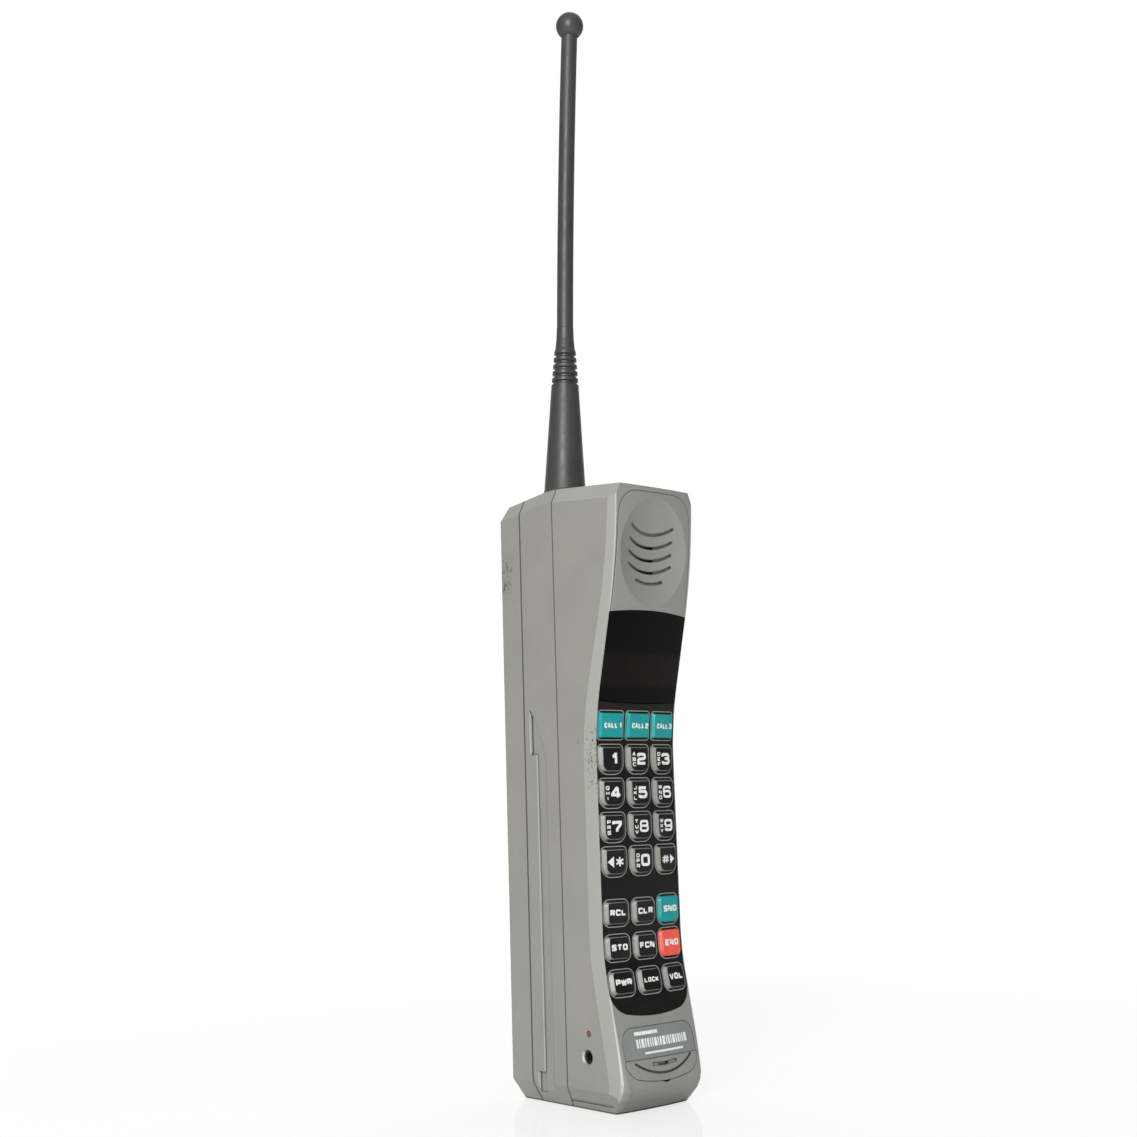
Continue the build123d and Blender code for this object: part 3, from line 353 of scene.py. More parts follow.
def painted_gap_shade(tree, tone, place, forward):
    """Painted shade in the seams and gaps, but not on the two faces that meet in a seam.

    The front seam is flat; the pack's seam curls forward at the foot.
    """
    below = larger(tree, math_node(tree, "SUBTRACT", FOOT_HEIGHT, place["Z"]), 0.0)
    run = math_node(tree, "SUBTRACT", FOOT_RADIUS ** 2, times(tree, below, below))
    pack_seam = math_node(tree, "ADD", math_node(tree, "SQRT", run), PACK_SEAM_Y - FOOT_RADIUS)
    pack_line = line_near(tree, place["Y"], pack_seam, PACK_SEAM_HALF)
    front_line = line_near(tree, place["Y"], FRONT_SEAM_Y, FRONT_SEAM_HALF)
    seams = larger(tree, pack_line, times(tree, front_line, FRONT_SEAM_COVER))
    outside = ramp(tree, math_node(tree, "ABSOLUTE", forward), *SEAM_FORWARD)
    # painted shade: lines along both seams, and whatever the occlusion finds in narrow gaps and slots
    gap_shade = larger(tree, times(tree, seams, outside), crevice(tree, CREVICE_REACH))
    return mix_colour(tree, times(tree, gap_shade, GAP_SHADE_COVER), tone, GAP_SHADE_GREY)


def worn_places(tree):
    """One where the paint is rubbed or chipped, near corners that meet the hand and the table."""
    blotch = noise(tree, 0.0011, 4.0)
    start, full = RUB_EDGE
    worn = 0.0
    for point, reach, crowding in WORN_SPOTS:
        rubbed = ramp(tree, blotch, start - crowding, full - crowding)
        worn = larger(tree, worn, times(tree, near(tree, point, reach), rubbed))
    return worn


def case_paint():
    """Warm grey paint over textured plastic, rubbed where the phone was carried, with painted highlights on the
    front bevels and rims and painted shade in the seams and gaps.
    """
    material, tree, shader = new_material(
        "case_paint", specular_ior_level=0.5, coat_weight=0.12, coat_roughness=0.3)
    place = split(tree, object_place(tree))
    aim = split(tree, object_normal(tree))
    sideways = math_node(tree, "ABSOLUTE", aim["X"])
    forward = times(tree, aim["Y"], -1.0)
    tone = painted_bevel_highlights(tree, speckled_grey(tree), place, sideways, forward)
    tone = painted_gap_shade(tree, tone, place, forward)
    worn = worn_places(tree)
    tone = mix_colour(tree, times(tree, worn, WORN_COVER), tone, RUB_GREY)
    sheen = uneven(tree, 0.009, 0.4, 0.5)
    dress(tree, shader, tone, math_node(tree, "ADD", sheen, times(tree, worn, WORN_ROUGHNESS)))
    grain = math_node(tree, "SUBTRACT", noise(tree, 0.0005, 2.0), times(tree, worn, WORN_GRAIN))
    soft_bump(tree, shader, grain, 0.00003, 0.0007)
    return material


def key_plastic(name, side, top, rim, face):
    """Key cap: printed flat top inside a thin pale rim painted as an edge highlight; the left wall painted lit,
    the other walls painted in shade.
    """
    material, tree, shader = new_material(name, specular_ior_level=0.4)
    drift = uneven(tree, 0.004)
    leftward = along(tree, object_normal(tree), -face.right)
    lit = mottled(tree, drift, side, 0.06)
    wall = mix_colour(tree, ramp(tree, leftward, *KEY_LEFT_FACING), shade(side, KEY_SHADOW), lit)
    height = along(tree, object_place(tree), face.out)
    near_top = ramp(tree, height, *(face.level - depth for depth in KEY_RIM_DEPTHS))
    wall = mix_colour(tree, near_top, wall, rim)
    printed = mottled(tree, drift, top, 0.05)
    facing = along(tree, object_normal(tree), face.out)
    is_top = math_node(tree, "GREATER_THAN", facing, KEY_TOP_FACING)
    dress(tree, shader, mix_colour(tree, is_top, wall, printed), uneven(tree, 0.002, 0.28, 0.40))
    soft_bump(tree, shader, noise(tree, 0.0006, 2.0), 0.000012, 0.0002)
    return material


def smoked_window():
    """Polished smoked window: near black, with the display's brown glow low behind it."""
    material, tree, shader = new_material("smoked_window", specular_ior_level=0.09)
    up = split(tree, object_place(tree))["Z"]
    height = window_high.z - window_low.z
    above = ramp(tree, up, *(window_low.z + share * height for share in GLOW_BOTTOM))
    below = ramp(tree, up, *(window_low.z + share * height for share in GLOW_TOP))
    patches = ramp(tree, noise(tree, 0.012, 2.0), 0.2, 0.8, 0.5, 1.0)
    glow = times(tree, times(tree, above, below), patches)
    smear = ramp(tree, noise(tree, 0.007, 4.0, (1, 1, 0.3)), 0.45, 0.75, 0.06, 0.16)
    dress(tree, shader, mix_colour(tree, glow, SMOKE, SMOKE_GLOW), smear)
    soft_bump(tree, shader, noise(tree, 0.01, 1.0), 0.00001, 0.0002)
    return material


def circuit_board(name):
    """Green solder mask with paler tracks and pads."""
    material, tree, shader = new_material(name, specular_ior_level=0.5)
    upright = put(tree, "Mapping", {"Vector": object_place(tree), "Rotation": (math.pi / 2, 0, 0)})
    cells = put(tree, "TexBrick", {
        "Vector": upright.outputs["Vector"], "Scale": BOARD_GRID, "Mortar Size": BOARD_TRACK,
        "Color1": rgba((0, 0, 0)), "Color2": rgba((0.3, 0.3, 0.3)), "Mortar": rgba((1, 1, 1))})
    lines = put(tree, "RGBToBW", {0: cells.outputs["Color"]}).outputs[0]
    track = times(tree, lines, ramp(tree, noise(tree, 0.006), 0.45, 0.55))
    tone = mix_colour(tree, track, SOLDER_MASK, COPPER_TRACK)
    dress(tree, shader, tone, uneven(tree, 0.003, 0.25, 0.4))
    soft_bump(tree, shader, track, 0.00003, 0.0001)
    return material


def cell_sleeve():
    """Shrink sleeve over a cell: blue green, with bare metal ends."""
    material, tree, shader = new_material("cell_sleeve", specular_ior_level=0.5)
    upward = math_node(tree, "ABSOLUTE", split(tree, object_normal(tree))["Z"])
    is_end = math_node(tree, "GREATER_THAN", upward, 0.9)
    wrinkle = noise(tree, 0.003, 2.0, (1, 1, 0.15))
    sleeve = mix_colour(tree, ramp(tree, wrinkle, *NOISE_SPREAD), SLEEVE_DARK, SLEEVE_PALE)
    roughness = ramp(tree, wrinkle, *NOISE_SPREAD, 0.25, 0.4)
    dress(tree, shader, mix_colour(tree, is_end, sleeve, CELL_END), roughness)
    tree.links.new(is_end, shader.inputs["Metallic"])
    soft_bump(tree, shader, wrinkle, 0.00004, 0.0002)
    return material


def white_print():
    """Pad-printed white, slightly rubbed."""
    material, tree, shader = new_material("white_print", specular_ior_level=0.4)
    rubbed = ramp(tree, noise(tree, 0.0009, 2.0), 0.2, 0.8)
    tone = mix_colour(tree, rubbed, INK_RUBBED, INK_WHITE)
    dress(tree, shader, tone, uneven(tree, 0.0008, 0.4, 0.55))
    soft_bump(tree, shader, noise(tree, 0.0003, 1.0), 0.000006)
    return material


materials = {
    "case_grey": case_paint(),
    "lid_black": moulded("lid_black", (0.02, 0.02, 0.02), rough=0.5),
    "cell_sleeve": cell_sleeve(),
    "brass": metal("plated_brass", (0.78, 0.58, 0.28)),
    "steel": metal("zinc_steel", (0.62, 0.62, 0.64)),
    "smoked_window": smoked_window(),
    "board_green": circuit_board("circuit_board"),
    "digit_red": moulded("display_digit", (0.10, 0.006, 0.006), rough=0.2),
    "panel_black": moulded("panel_black", (0.0075, 0.0071, 0.0068), size=0.0005, depth=0.00002,
                           rough=0.36, edge=0.0003, specular_ior_level=0.22),
    "silicone_grey": moulded("silicone_grey", (0.22, 0.22, 0.22), rough=0.6),
    "carbon": moulded("carbon_pill", (0.01, 0.01, 0.01), rough=0.7),
    "label_grey": moulded("label_foil", (0.200, 0.224, 0.214), size=0.0004, depth=0.00001,
                          rough=0.34, edge=0.0002, tint=0.05),
    "microphone_metal": metal("microphone_can", (0.65, 0.65, 0.65)),
    "rubber_black": moulded("black_rubber", (0.018, 0.018, 0.018), rough=0.65),
    "lens_red": moulded("red_lens", (0.20, 0.015, 0.015), depth=0.000005, rough=0.12, coat_weight=0.5),
    "socket_black": moulded("socket_black", (0.008, 0.008, 0.008), rough=0.5),
    "tinned_steel": metal("tinned_steel", (0.68, 0.68, 0.66), rough=0.32, brushed=(1, 1, 1)),
    "speaker_metal": metal("speaker_metal", (0.42, 0.42, 0.44), rough=0.35, brushed=(1, 1, 1)),
    "foam_black": moulded("black_foam", (0.02, 0.02, 0.02), size=0.0009, depth=0.0002, rough=0.85),
    "antenna_black": moulded("antenna_black", (0.042, 0.041, 0.040), size=0.0005, depth=0.00002,
                             rough=0.42, edge=0.0003),
}


# ---------------------------------------------------------------- keys
TOP_TOLERANCE = 0.01 * MM
key_names = [name.removeprefix("key_") for name in sorted(nodes) if name + "_press" in joints]


class KeyFace:
    """Where a key's flat top lies: its centre, its outward, right and up directions, and its height."""

    def __init__(self, name):
        axis = Vector(joints[f"key_{name}_press"]["axis"])
        self.out = -axis.normalized()
        self.right = Vector((-self.out.y, self.out.x, 0)).normalized()
        self.up = self.out.cross(self.right)
        self.points = [v.co.copy() for v in nodes["key_" + name].data.vertices]
        self.level = max(p.dot(self.out) for p in self.points)
        top = [p for p in self.points if p.dot(self.out) > self.level - TOP_TOLERANCE]
        across = [p.dot(self.right) for p in top]
        along_up = [p.dot(self.up) for p in top]
        self.centre = (self.right * (min(across) + max(across)) / 2
                       + self.up * (min(along_up) + max(along_up)) / 2 + self.out * self.level)

    def place(self, x, y, lift=0.0):
        """Point x to the right of and y above the middle of the top, in millimetres."""
        return self.centre + (self.right * x + self.up * y + self.out * lift) * MM


def key_material(name, face):
    """Material of a key, with its printed top if it has one."""
    if name.startswith("call") or name == "snd":
        return key_plastic("key_teal_" + name, KEY_TEAL, KEY_TEAL, shade(KEY_TEAL, 1.1), face)
    if name == "end":
        return key_plastic("key_red_" + name, KEY_RED, KEY_RED, shade(KEY_RED, 1.05), face)
    return key_plastic("key_grey_" + name, KEY_GREY, KEY_BLACK, KEY_RIM_HIGHLIGHT, face)


faces = {name: KeyFace(name) for name in key_names}
for node_name, node in nodes.items():
    key = node_name.removeprefix("key_")
    skin = key_material(key, faces[key]) if key in faces else materials[slot_of[node_name]]
    node.data.materials.clear()
    node.data.materials.append(skin)


# ---------------------------------------------------------------- mesh helpers
def new_object(name, bm, material):
    """Linked object made from bmesh, with one material."""
    mesh = bpy.data.meshes.new(name)
    bm.to_mesh(mesh)
    bm.free()
    mesh.materials.append(material)
    made = bpy.data.objects.new(name, mesh)
    bpy.context.scene.collection.objects.link(made)
    return made


def mesh_piece(name, bm, material, body):
    """Finished solid from bmesh, riding on a body."""
    bmesh.ops.recalc_face_normals(bm, faces=bm.faces)
    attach(new_object(name, bm, material), body)


def sweep_sections(bm, sections, closed):
    """Skin over equal sections of points, joined at the ends or capped."""
    rings = [[bm.verts.new(p) for p in section] for section in sections]
    count = len(rings[0])
    pairs = list(zip(rings, rings[1:]))
    if closed:
        pairs.append((rings[-1], rings[0]))
    for a, b in pairs:
        for i in range(count):
            j = (i + 1) % count
            bm.faces.new((a[i], a[j], b[j], b[i]))
    if not closed:
        bm.faces.new(rings[0])
        bm.faces.new(list(reversed(rings[-1])))


# ---------------------------------------------------------------- stroke lettering
# Each glyph is a list of strokes on a grid 2 wide and 2 high. A third number rounds that corner:
# R for the corners of round letters, SMALL for tight turns.
R = 0.55
SMALL = 0.4
GLYPHS = {
    "A": [[(0, 0), (0.85, 2), (1.15, 2), (2, 0)], [(0.45, 0.62), (1.55, 0.62)]],
    "B": [[(0, 1), (0, 2), (1.9, 2, SMALL), (1.9, 1.05, SMALL), (0, 1.05)],
          [(1.5, 1.05), (2, 1.05, SMALL), (2, 0, SMALL), (0, 0), (0, 1)]],
    "C": [[(2, 1.45), (2, 2, R), (0, 2, R), (0, 0, R), (2, 0, R), (2, 0.55)]],
    "D": [[(0, 1), (0, 2), (2, 2, R), (2, 0, R), (0, 0), (0, 1)]],
    "E": [[(2, 2), (0, 2), (0, 0), (2, 0)], [(0, 1.03), (1.8, 1.03)]],
    "F": [[(2, 2), (0, 2), (0, 0)], [(0, 1.0), (1.75, 1.0)]],
    "G": [[(2, 1.5), (2, 2, R), (0, 2, R), (0, 0, R), (2, 0, R), (2, 0.95), (1.15, 0.95)]],
    "H": [[(0, 0), (0, 2)], [(2, 0), (2, 2)], [(0, 1), (2, 1)]],
    "I": [[(1, 0), (1, 2)]],
    "J": [[(1.8, 2), (1.8, 0, R), (0.1, 0, R), (0.1, 0.6)]],
    "K": [[(0, 0), (0, 2)], [(1.9, 2), (0.75, 1.08), (2, 0)], [(0, 1.08), (0.8, 1.08)]],
    "L": [[(0, 2), (0, 0), (1.9, 0)]],
    "M": [[(0, 0), (0, 2), (0.3, 2), (1, 0.55), (1.7, 2), (2, 2), (2, 0)]],
    "N": [[(0, 0), (0, 2), (0.35, 2), (1.65, 0), (2, 0), (2, 2)]],
    "O": [[(0, 1), (0, 2, R), (2, 2, R), (2, 0, R), (0, 0, R), (0, 1)]],
    "P": [[(0, 0), (0, 2), (1, 2)], [(1, 2), (2, 2, SMALL), (2, 0.85, SMALL), (0, 0.85)]],
    "R": [[(0, 0), (0, 2), (1, 2)], [(1, 2), (2, 2, SMALL), (2, 0.9, SMALL), (0, 0.9)],
          [(1.15, 0.9), (2, 0)]],
    "S": [[(2, 1.55), (2, 2, R), (0, 2, R), (0, 1.05, R), (2, 0.95, R), (2, 0, R), (0, 0, R), (0, 0.45)]],
    "T": [[(-0.1, 2), (2.1, 2)], [(1, 2), (1, 0)]],
    "U": [[(0, 2), (0, 0, R), (2, 0, R), (2, 2)]],
    "V": [[(-0.1, 2), (0.85, 0), (1.15, 0), (2.1, 2)]],
    "W": [[(-0.3, 2), (0.3, 0), (0.5, 0), (1, 1.7), (1.5, 0), (1.7, 0), (2.3, 2)]],
    "X": [[(0, 0), (2, 2)], [(0, 2), (2, 0)]],
    "Y": [[(0, 2), (1, 0.95), (2, 2)], [(1, 1), (1, 0)]],
    "0": [[(0, 1), (0, 2, R), (2, 2, R), (2, 0, R), (0, 0, R), (0, 1)]],
    "1": [[(0.45, 1.55), (0.75, 1.55), (1.15, 2), (1.35, 2), (1.35, 0)]],
    "2": [[(0, 1.5), (0, 2, R), (2, 2, R), (2, 1.05, R), (0, 0.9, R), (0, 0), (2.1, 0)]],
    "3": [[(0, 1.5), (0, 2, R), (1.95, 2, R), (1.95, 1.05, SMALL), (0.7, 1.05)],
          [(1.4, 1.05), (2, 1.05, SMALL), (2, 0, R), (0, 0, R), (0, 0.5)]],
    "4": [[(2.15, 0.55), (0, 0.55), (0, 0.75), (1.2, 2), (1.5, 2)], [(1.5, 2.1), (1.5, 0)]],
    "5": [[(1.95, 2), (0.1, 2), (0.1, 1.15), (2, 1.2, R), (2, 0, R), (0, 0, R), (0, 0.45)]],
    "6": [[(1.9, 1.55), (1.9, 2, R), (0, 2, R), (0, 0, R), (1, 0)],
          [(1, 0), (2, 0, R), (2, 1.15, R), (0, 1.15)]],
    "7": [[(0, 1.6), (0, 2), (2, 2), (2, 1.6), (0.95, 0.5), (0.95, 0)]],
    "8": [[(1, 1.05), (0.05, 1.05, SMALL), (0.05, 2, R), (1.95, 2, R), (1.95, 1.05, SMALL), (1, 1.05)],
          [(1, 1.05), (0, 1.05, SMALL), (0, 0, R), (2, 0, R), (2, 1.05, SMALL), (1, 1.05)]],
    "9": [[(2, 0.85), (0, 0.85, R), (0, 2, R), (1, 2)],
          [(1, 2), (2, 2, R), (2, 0, R), (0.1, 0, R), (0.1, 0.45)]],
    "*": [[(1, 0), (1, 2)], [(0.05, 0.5), (1.95, 1.5)], [(0.05, 1.5), (1.95, 0.5)]],
    "#": [[(0.45, 0), (0.75, 2)], [(1.25, 0), (1.55, 2)], [(0, 0.65), (2, 0.65)], [(0, 1.35), (2, 1.35)]],
}
PRINT_HEIGHT = 0.05          # of the raised ink, in millimetres
STROKE_STEP = 0.006          # between crossing strokes of one glyph, in millimetres
CORNER_STEPS = 5
MITRE_LIMIT = 1.7
SHARPEST_TURN = 0.1          # cosine below which a mitre grows no more
LONGEST_REACH = 0.499        # of a rounded corner, as a share of its legs
LETTER_GAP = 0.16            # as a share of the letters' height


def rounded(stroke, sx, sy):
    """Stroke scaled to millimetres, with its marked corners turned into arcs."""
    points = [Vector((p[0] * sx, p[1] * sy)) for p in stroke]
    radii = [(p[2] if len(p) > 2 else 0) * min(sx, sy) for p in stroke]
    line = []
    for i, (point, radius) in enumerate(zip(points, radii)):
        if not radius or i in (0, len(points) - 1):
            line.append(point)
            continue
        before, after = points[i - 1] - point, points[i + 1] - point
        reach = min(radius, before.length * LONGEST_REACH, after.length * LONGEST_REACH)
        start, end = point + before.normalized() * reach, point + after.normalized() * reach
        for step in range(CORNER_STEPS + 1):
            t = step / CORNER_STEPS
            line.append(start * (1 - t) ** 2 + point * 2 * t * (1 - t) + end * t ** 2)
    return line


def stroke_sides(line, width, closed):
    """Left and right edges of a stroke of constant width, with mitred corners."""
    sides = []
    count = len(line)
    for i, point in enumerate(line):
        directions = []
        if closed or i:
            directions.append((point - line[i - 1]).normalized())
        if closed or i < count - 1:
            directions.append((line[(i + 1) % count] - point).normalized())
        middle = sum(directions, Vector((0, 0))).normalized()
        normal = Vector((-middle.y, middle.x))
        across = Vector((-directions[0].y, directions[0].x))
        grow = min(1 / max(normal.dot(across), SHARPEST_TURN), MITRE_LIMIT)
        sides.append((point + normal * grow * width / 2, point - normal * grow * width / 2))
    return sides


def draw_strokes(bm, face, glyph, left, low, size_x, size_y, width):
    """One glyph as thin raised ink, its ink box's lower left corner at (left, low) on a face."""
    sx, sy = (size_x - width) / 2, (size_y - width) / 2
    shift = Vector((left + width / 2, low + width / 2))
    for order, stroke in enumerate(GLYPHS[glyph]):
        lift = PRINT_HEIGHT + order * STROKE_STEP
        line = rounded(stroke, sx, sy)
        closed = stroke[0][:2] == stroke[-1][:2]
        if closed:
            line = line[:-1]
        sections = []
        for a, b in stroke_sides(line, width, closed):
            corners = ((a, -lift), (a, lift), (b, lift), (b, -lift))
            sections.append([face.place(*(edge + shift), up) for edge, up in corners])
        sweep_sections(bm, sections, closed)


def draw_arrow(bm, face, tip_x, back_x, height):
    """Solid arrowhead level with the middle of a face."""
    corners = [(tip_x, 0), (back_x, -height / 2), (back_x, height / 2)]
    ends = (-PRINT_HEIGHT, PRINT_HEIGHT)
    sweep_sections(bm, [[face.place(*c, lift) for c in corners] for lift in ends], False)


def draw_word(bm, face, word, centre, middle, total, height, weight):
    """Word centred at a place, fitted to a total width, all letters equally wide."""
    gap = LETTER_GAP * height
    each = (total - gap * (len(word) - 1)) / len(word)
    for order, letter in enumerate(word):
        left = centre - total / 2 + order * (each + gap)
        draw_strokes(bm, face, letter, left, middle - height / 2, each, height, weight)


# ---------------------------------------------------------------- legends on the keys
DIGIT_LETTERS = {
    "2": "ABC", "3": "DEF", "4": "GHI", "5": "JKL", "6": "MNO",
    "7": "PRS", "8": "TUV", "9": "WXY", "0": "OPR",
}
FUNCTION_KEYS = ("rcl", "clr", "snd", "sto", "fcn", "end", "pwr", "vol")
# centre x and y, total width, height and stroke width, in millimetres from the key's middle
CALL_WORD = (-0.7, 0.0, 6.8, 2.2, 0.62)
CALL_NUMBER = (4.2, 0.0, 1.7, 2.2, 0.58)
FUNCTION_WORD = (0.1, 0.2, 8.0, 2.5, 0.74)
LOCK_WORD = (0.1, 0.1, 7.8, 1.95, 0.56)
DIGIT = (1.2, 0.15, 4.9, 4.9, 1.2)
CROWDED_DIGIT = (1.2, 0.15, 4.9, 4.9, 1.0)
CROWDED_DIGITS = "689"
# the same for the first of a digit's small letters, and the step down to the next
FIRST_LETTER = (-2.95, 2.1, 1.8, 1.6, 0.42)
LETTER_STEP = 2.1
# lower left corner, width, height and stroke width of the two signs; tip, back and height of the arrows
STAR_SIGN = (-0.3, -2.2, 4.4, 4.4, 0.72)
STAR_ARROW = (-4.3, -1.1, 4.4)
HASH_SIGN = (-3.6, -1.9, 4.4, 3.8, 0.62)
HASH_ARROW = (3.9, 1.5, 3.8)


def draw_legend(bm, face, name):
    """All the print on one key."""
    if name.startswith("call"):
        draw_word(bm, face, "CALL", *CALL_WORD)
        draw_word(bm, face, name[-1], *CALL_NUMBER)
    elif name in FUNCTION_KEYS:
        draw_word(bm, face, name.upper(), *FUNCTION_WORD)
    elif name == "lock":
        draw_word(bm, face, "LOCK", *LOCK_WORD)
    elif name == "star":
        draw_arrow(bm, face, *STAR_ARROW)
        draw_strokes(bm, face, "*", *STAR_SIGN)
    elif name == "hash":
        draw_strokes(bm, face, "#", *HASH_SIGN)
        draw_arrow(bm, face, *HASH_ARROW)
    else:
        draw_word(bm, face, name, *(CROWDED_DIGIT if name in CROWDED_DIGITS else DIGIT))
        x, y, width, height, weight = FIRST_LETTER
        for row, letter in enumerate(DIGIT_LETTERS.get(name, "")):
            draw_word(bm, face, letter, x, y - row * LETTER_STEP, width, height, weight)


ink = white_print()
for name, face in faces.items():
    bm = bmesh.new()
    draw_legend(bm, face, name)
    mesh_piece("legend_" + name, bm, ink, "key_" + name)


# ---------------------------------------------------------------- spring under the latch
coil = bpy.data.objects.new("latch_coil", nodes["latch_spring"].data.copy())
bpy.context.scene.collection.objects.link(coil)
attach(coil, "battery")
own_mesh(coil)
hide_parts("latch_spring")


# ---------------------------------------------------------------- lines round the keys
RUN_UP = 0.03                    # from which a surface is met, in metres
RING_INNER = 0.30 * MM           # from the key's outline
RING_OUTER = 0.68 * MM
RING_LIFTS = (-0.06 * MM, 0.07 * MM)
RING_RUN = 0.8 * MM              # longest straight piece of a ring
KEY_CAP_HEIGHT = 1.3 * MM
OUTLINE_TOLERANCE = 0.02 * MM
SAME_POINT = 0.01 * MM


class Surface:
    """Outer surface of a CAD node, met along a direction."""

    def __init__(self, name):
        bm = bmesh.new()
        bm.from_mesh(nodes[name].data)
        self.tree = BVHTree.FromBMesh(bm)
        bm.free()

    def drop(self, point, direction, lift):
        """Point on the surface below a point, raised by lift metres against the direction."""
        hit = self.tree.ray_cast(point - direction * RUN_UP, direction)[0]
        return hit - direction * lift


def divided(loop):
    """Closed loop of points with its long straight runs cut into short ones."""
    dense = []
    for a, b in zip(loop, loop[1:] + loop[:1]):
        steps = max(1, round((b - a).length / RING_RUN))
        dense += [a.lerp(b, step / steps) for step in range(steps)]
    return dense


def key_outline(face):
    """Outline of a key where its cap starts, in order round it, flattened along the key's axis."""
    base = face.level - KEY_CAP_HEIGHT
    outline = {}
    for p in face.points:
        if abs(p.dot(face.out) - base) < OUTLINE_TOLERANCE:
            flat = p - face.out * p.dot(face.out)
            outline[tuple(round(c / SAME_POINT) for c in flat)] = flat
    centre = face.centre - face.out * face.centre.dot(face.out)

    def angle(p):
        return math.atan2((p - centre).dot(face.up), (p - centre).dot(face.right))

    return divided(sorted(outline.values(), key=angle))


def key_ring(bm, face, panel):
    """Raised pale line on the panel round a key, following the key's own outline."""
    ring = key_outline(face)
    sections = []
    for i, p in enumerate(ring):
        outward = (ring[(i + 1) % len(ring)] - ring[i - 1]).normalized().cross(face.out)
        stations = []
        for offset in (RING_INNER, RING_OUTER):
            spot = p + outward * offset + face.out * face.level
            stations.append([panel.drop(spot, -face.out, lift) for lift in RING_LIFTS])
        (a, b), (d, c) = stations
        sections.append([a, b, c, d])
    sweep_sections(bm, sections, True)


keypad_panel = Surface("keypad_panel")
ring_paint = moulded("ring_paint", (0.27, 0.27, 0.25), rough=0.4, edge=0.0)
for name, face in faces.items():
    bm = bmesh.new()
    key_ring(bm, face, keypad_panel)
    mesh_piece("ring_" + name, bm, ring_paint, "phone")


# ---------------------------------------------------------------- print on the label plate
# middle x in millimetres, middle as a share of the plate's height, width and height in millimetres
LABEL_RULES = [(-7.0, 0.81, 12.0, 1.3), (1.5, 0.17, 21.0, 0.8)]
CODE_START = -12.6               # of the row of bars, in millimetres from the middle
CODE_END = 14.0
CODE_GAP = 0.55
CODE_LEVEL = 0.49
CODE_HEIGHT = 3.3
CODE_WIDTHS = (0.9, 0.5, 1.4, 0.6, 0.9, 0.5, 0.6, 1.4, 0.5, 0.9, 1.5, 0.5)
BAR_STEPS = 24


def code_bars():
    """Row of bars of mixed widths, which spells nothing."""
    bars = []
    left = CODE_START
    for width in itertools.cycle(CODE_WIDTHS):
        if left >= CODE_END:
            return bars
        bars.append((left + width / 2, CODE_LEVEL, width, CODE_HEIGHT))
        left += width + CODE_GAP


def label_bar(bm, label, x, share, width, height):
    """Raised white bar that follows the curved label plate."""
    level = label_low.z + share * (label_high.z - label_low.z)
    sections = []
    for step in range(BAR_STEPS + 1):
        across = (x + width * (step / BAR_STEPS - 0.5)) * MM
        corners = []
        for up, side in ((-0.5, -1), (-0.5, 1), (0.5, 1), (0.5, -1)):
            spot = Vector((across, label_low.y, level + up * height * MM))
            corners.append(label.drop(spot, Vector((0, 1, 0)), side * PRINT_HEIGHT * MM))
        sections.append(corners)
    sweep_sections(bm, sections, False)


label_plate = Surface("label_plate")
bm = bmesh.new()
for bar in LABEL_RULES + code_bars():
    label_bar(bm, label_plate, *bar)
mesh_piece("label_print", bm, ink, "phone")


# ---------------------------------------------------------------- table, light and camera
TABLE_HALF = 4.0
TABLE_DROP = 0.0001              # below the foot
TABLE_DARK = (0.155, 0.155, 0.152)
TABLE_PALE = (0.165, 0.165, 0.162)
TABLE_BOUNCE = (0.70, 0.70, 0.69)
TABLE_SHEEN = 0.14               # share of the table's look that is reflection
TABLE_ROUGHNESS = 0.09
GLOW_DISTANCES = (0.25, 1.3)     # over which the table's glow grows
GLOW_STRENGTHS = (0.83, 1.0)
WARM_WHITE = (1.0, 1.0, 0.975)
BACKDROP_STRENGTH = 1.02
ROOM_STRENGTH = 0.07
# direction of each bright part of the room, the cosines where it starts and is full, and its strength
ROOM_LOBES = [
    ((0, 0, 1), 0.15, 1.0, 0.45),
    ((-0.8, -0.5, 0.3), 0.6, 0.98, 0.45),
    ((0.65, 0.74, 0.1), 0.45, 0.9, 0.70),
]
# name, place, width and height, power in watts, and whether it shows in glossy surfaces
LIGHTS = [
    ("key_left", (-1.25, -0.85, 0.60), (0.5, 0.9), 22, True),
    ("top", (-0.1, 0.1, 1.7), (1.4, 1.4), 6, False),
    ("fill_right", (1.5, 0.1, 0.6), (1.3, 1.3), 11, False),
    ("fill_back", (0.2, 1.5, 0.7), (1.3, 1.3), 10, False),
]
LIGHT_TARGET = Vector((0, 0, 0.16))
CAMERA_PLACE = Vector((-0.434064, -0.482623, 0.117207))
CAMERA_YAW = -0.713140
CAMERA_PITCH = 0.158777
CAMERA_ROLL = 0.0298829
CAMERA_LENS = 48.124
CAMERA_SENSOR = 36.0
CAMERA_CLIP = (0.01, 50)


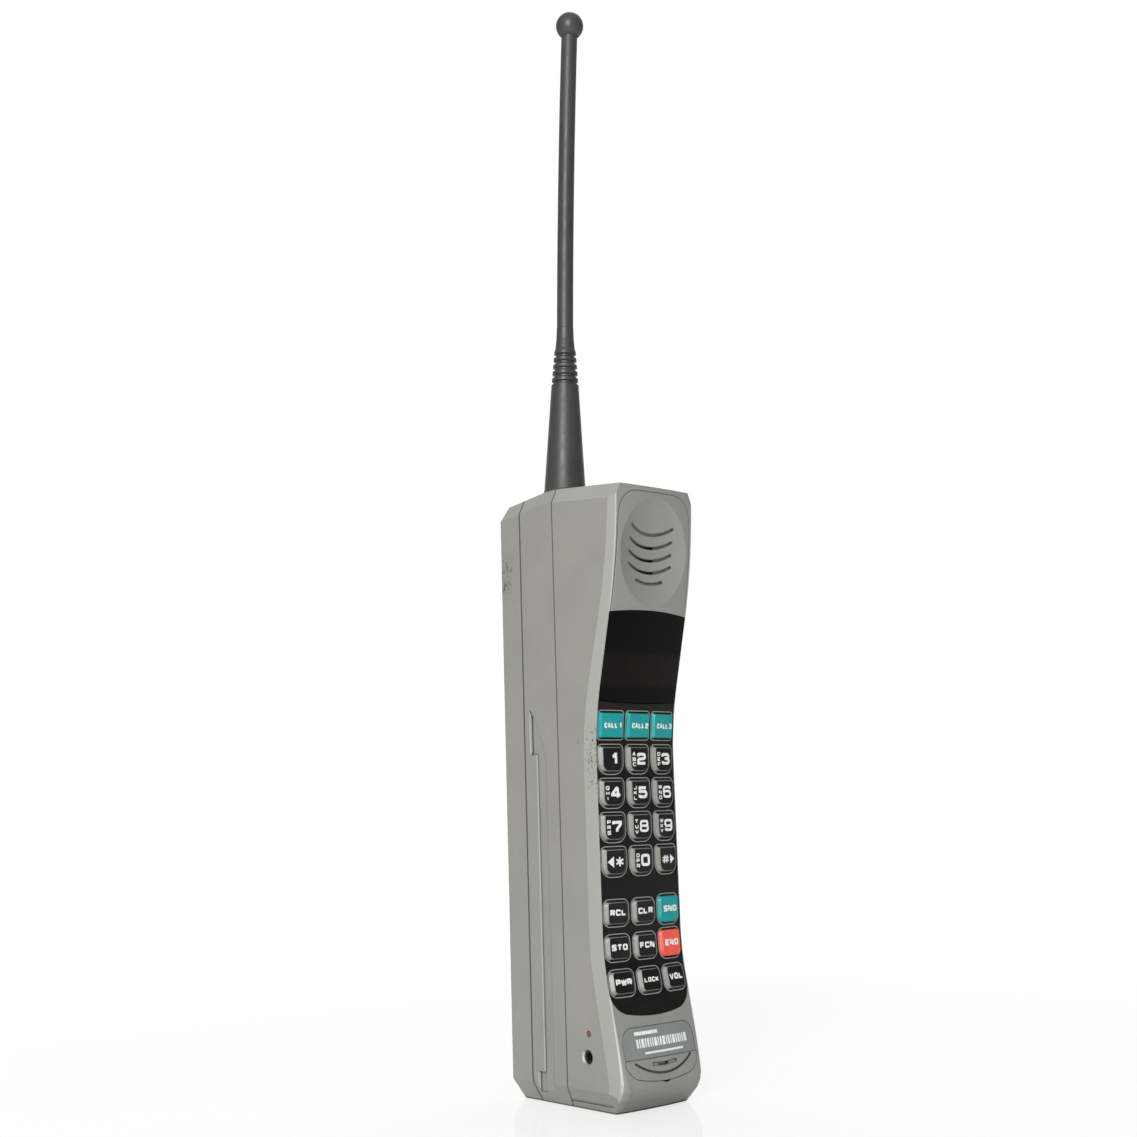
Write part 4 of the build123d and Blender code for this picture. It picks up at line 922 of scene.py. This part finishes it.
def table_material():
    """Evenly bright white to the eye, plain white to the light that bounces off it."""
    material = bpy.data.materials.new("white_table")
    material.use_nodes = True
    tree = material.node_tree
    tree.nodes.clear()
    tone = mix_colour(tree, noise(tree, 0.5, 2.0), TABLE_DARK, TABLE_PALE)
    lit = put(tree, "BsdfDiffuse", {"Color": tone})
    away = put(tree, "VectorMath", {0: object_place(tree)}, operation="LENGTH")
    strength = ramp(tree, away.outputs["Value"], *GLOW_DISTANCES, *GLOW_STRENGTHS)
    glow = put(tree, "Emission", {"Color": rgba(WARM_WHITE), "Strength": strength})
    seen = put(tree, "AddShader", {0: lit.outputs[0], 1: glow.outputs[0]})
    sheen = put(tree, "BsdfGlossy", {"Color": rgba((1, 1, 1)), "Roughness": TABLE_ROUGHNESS})
    polished = put(tree, "MixShader", {0: TABLE_SHEEN, 1: seen.outputs[0], 2: sheen.outputs[0]})
    bounce = put(tree, "BsdfDiffuse", {"Color": rgba(TABLE_BOUNCE)})
    to_eye = put(tree, "LightPath").outputs["Is Camera Ray"]
    choice = put(tree, "MixShader", {0: to_eye, 1: bounce.outputs[0], 2: polished.outputs[0]})
    put(tree, "OutputMaterial", {"Surface": choice.outputs[0]})
    return material


def table_top():
    """Wide white table under the phone."""
    bm = bmesh.new()
    level = cad_low.z - TABLE_DROP
    corners = ((-1, -1), (1, -1), (1, 1), (-1, 1))
    bm.faces.new([bm.verts.new((x * TABLE_HALF, y * TABLE_HALF, level)) for x, y in corners])
    new_object("table", bm, table_material())


def studio_world():
    """White surround to the eye; to the object, a dark room with a few bright sides."""
    world = bpy.data.worlds.new("studio")
    world.use_nodes = True
    tree = world.node_tree
    tree.nodes.clear()
    direction = put(tree, "TexCoord").outputs["Generated"]
    room = ROOM_STRENGTH
    for towards, start, full, strength in ROOM_LOBES:
        facing = along(tree, direction, Vector(towards).normalized())
        room = math_node(tree, "ADD", room, ramp(tree, facing, start, full, 0.0, strength))
    to_eye = put(tree, "LightPath").outputs["Is Camera Ray"]
    levels = {"Factor": to_eye, MIX_VALUE_A: room, MIX_VALUE_B: BACKDROP_STRENGTH}
    seen = put(tree, "Mix", levels, data_type="FLOAT")
    light = put(tree, "Background", {"Color": rgba(WARM_WHITE), "Strength": seen.outputs[0]})
    put(tree, "OutputWorld", {"Surface": light.outputs[0]})
    bpy.context.scene.world = world


def area_light(name, place, size, power, mirrored):
    """White rectangular softbox aimed at the phone; only a mirrored one shows in glossy surfaces."""
    data = bpy.data.lights.new(name, "AREA")
    data.shape = "RECTANGLE"
    data.size, data.size_y = size
    data.energy = power
    light = bpy.data.objects.new(name, data)
    light.visible_glossy = mirrored
    light.location = place
    light.rotation_euler = (LIGHT_TARGET - Vector(place)).to_track_quat("-Z", "Y").to_euler()
    bpy.context.scene.collection.objects.link(light)


def low_camera():
    """Camera low on the left, looking slightly up."""
    data = bpy.data.cameras.new("camera")
    data.sensor_width = CAMERA_SENSOR
    data.lens = CAMERA_LENS
    data.clip_start, data.clip_end = CAMERA_CLIP
    yaw = Matrix.Rotation(CAMERA_YAW, 3, "Z")
    pitch = Matrix.Rotation(CAMERA_PITCH, 3, "X")
    roll = Matrix.Rotation(CAMERA_ROLL, 3, "Y")
    right, forward, up = (yaw @ pitch @ roll).col
    turn = Matrix((right, up, -forward)).transposed().to_4x4()
    camera = bpy.data.objects.new("camera", data)
    camera.matrix_world = Matrix.Translation(CAMERA_PLACE) @ turn
    bpy.context.scene.collection.objects.link(camera)
    bpy.context.scene.camera = camera


table_top()
studio_world()
for light in LIGHTS:
    area_light(*light)
low_camera()
bpy.context.scene.view_settings.view_transform = "Standard"
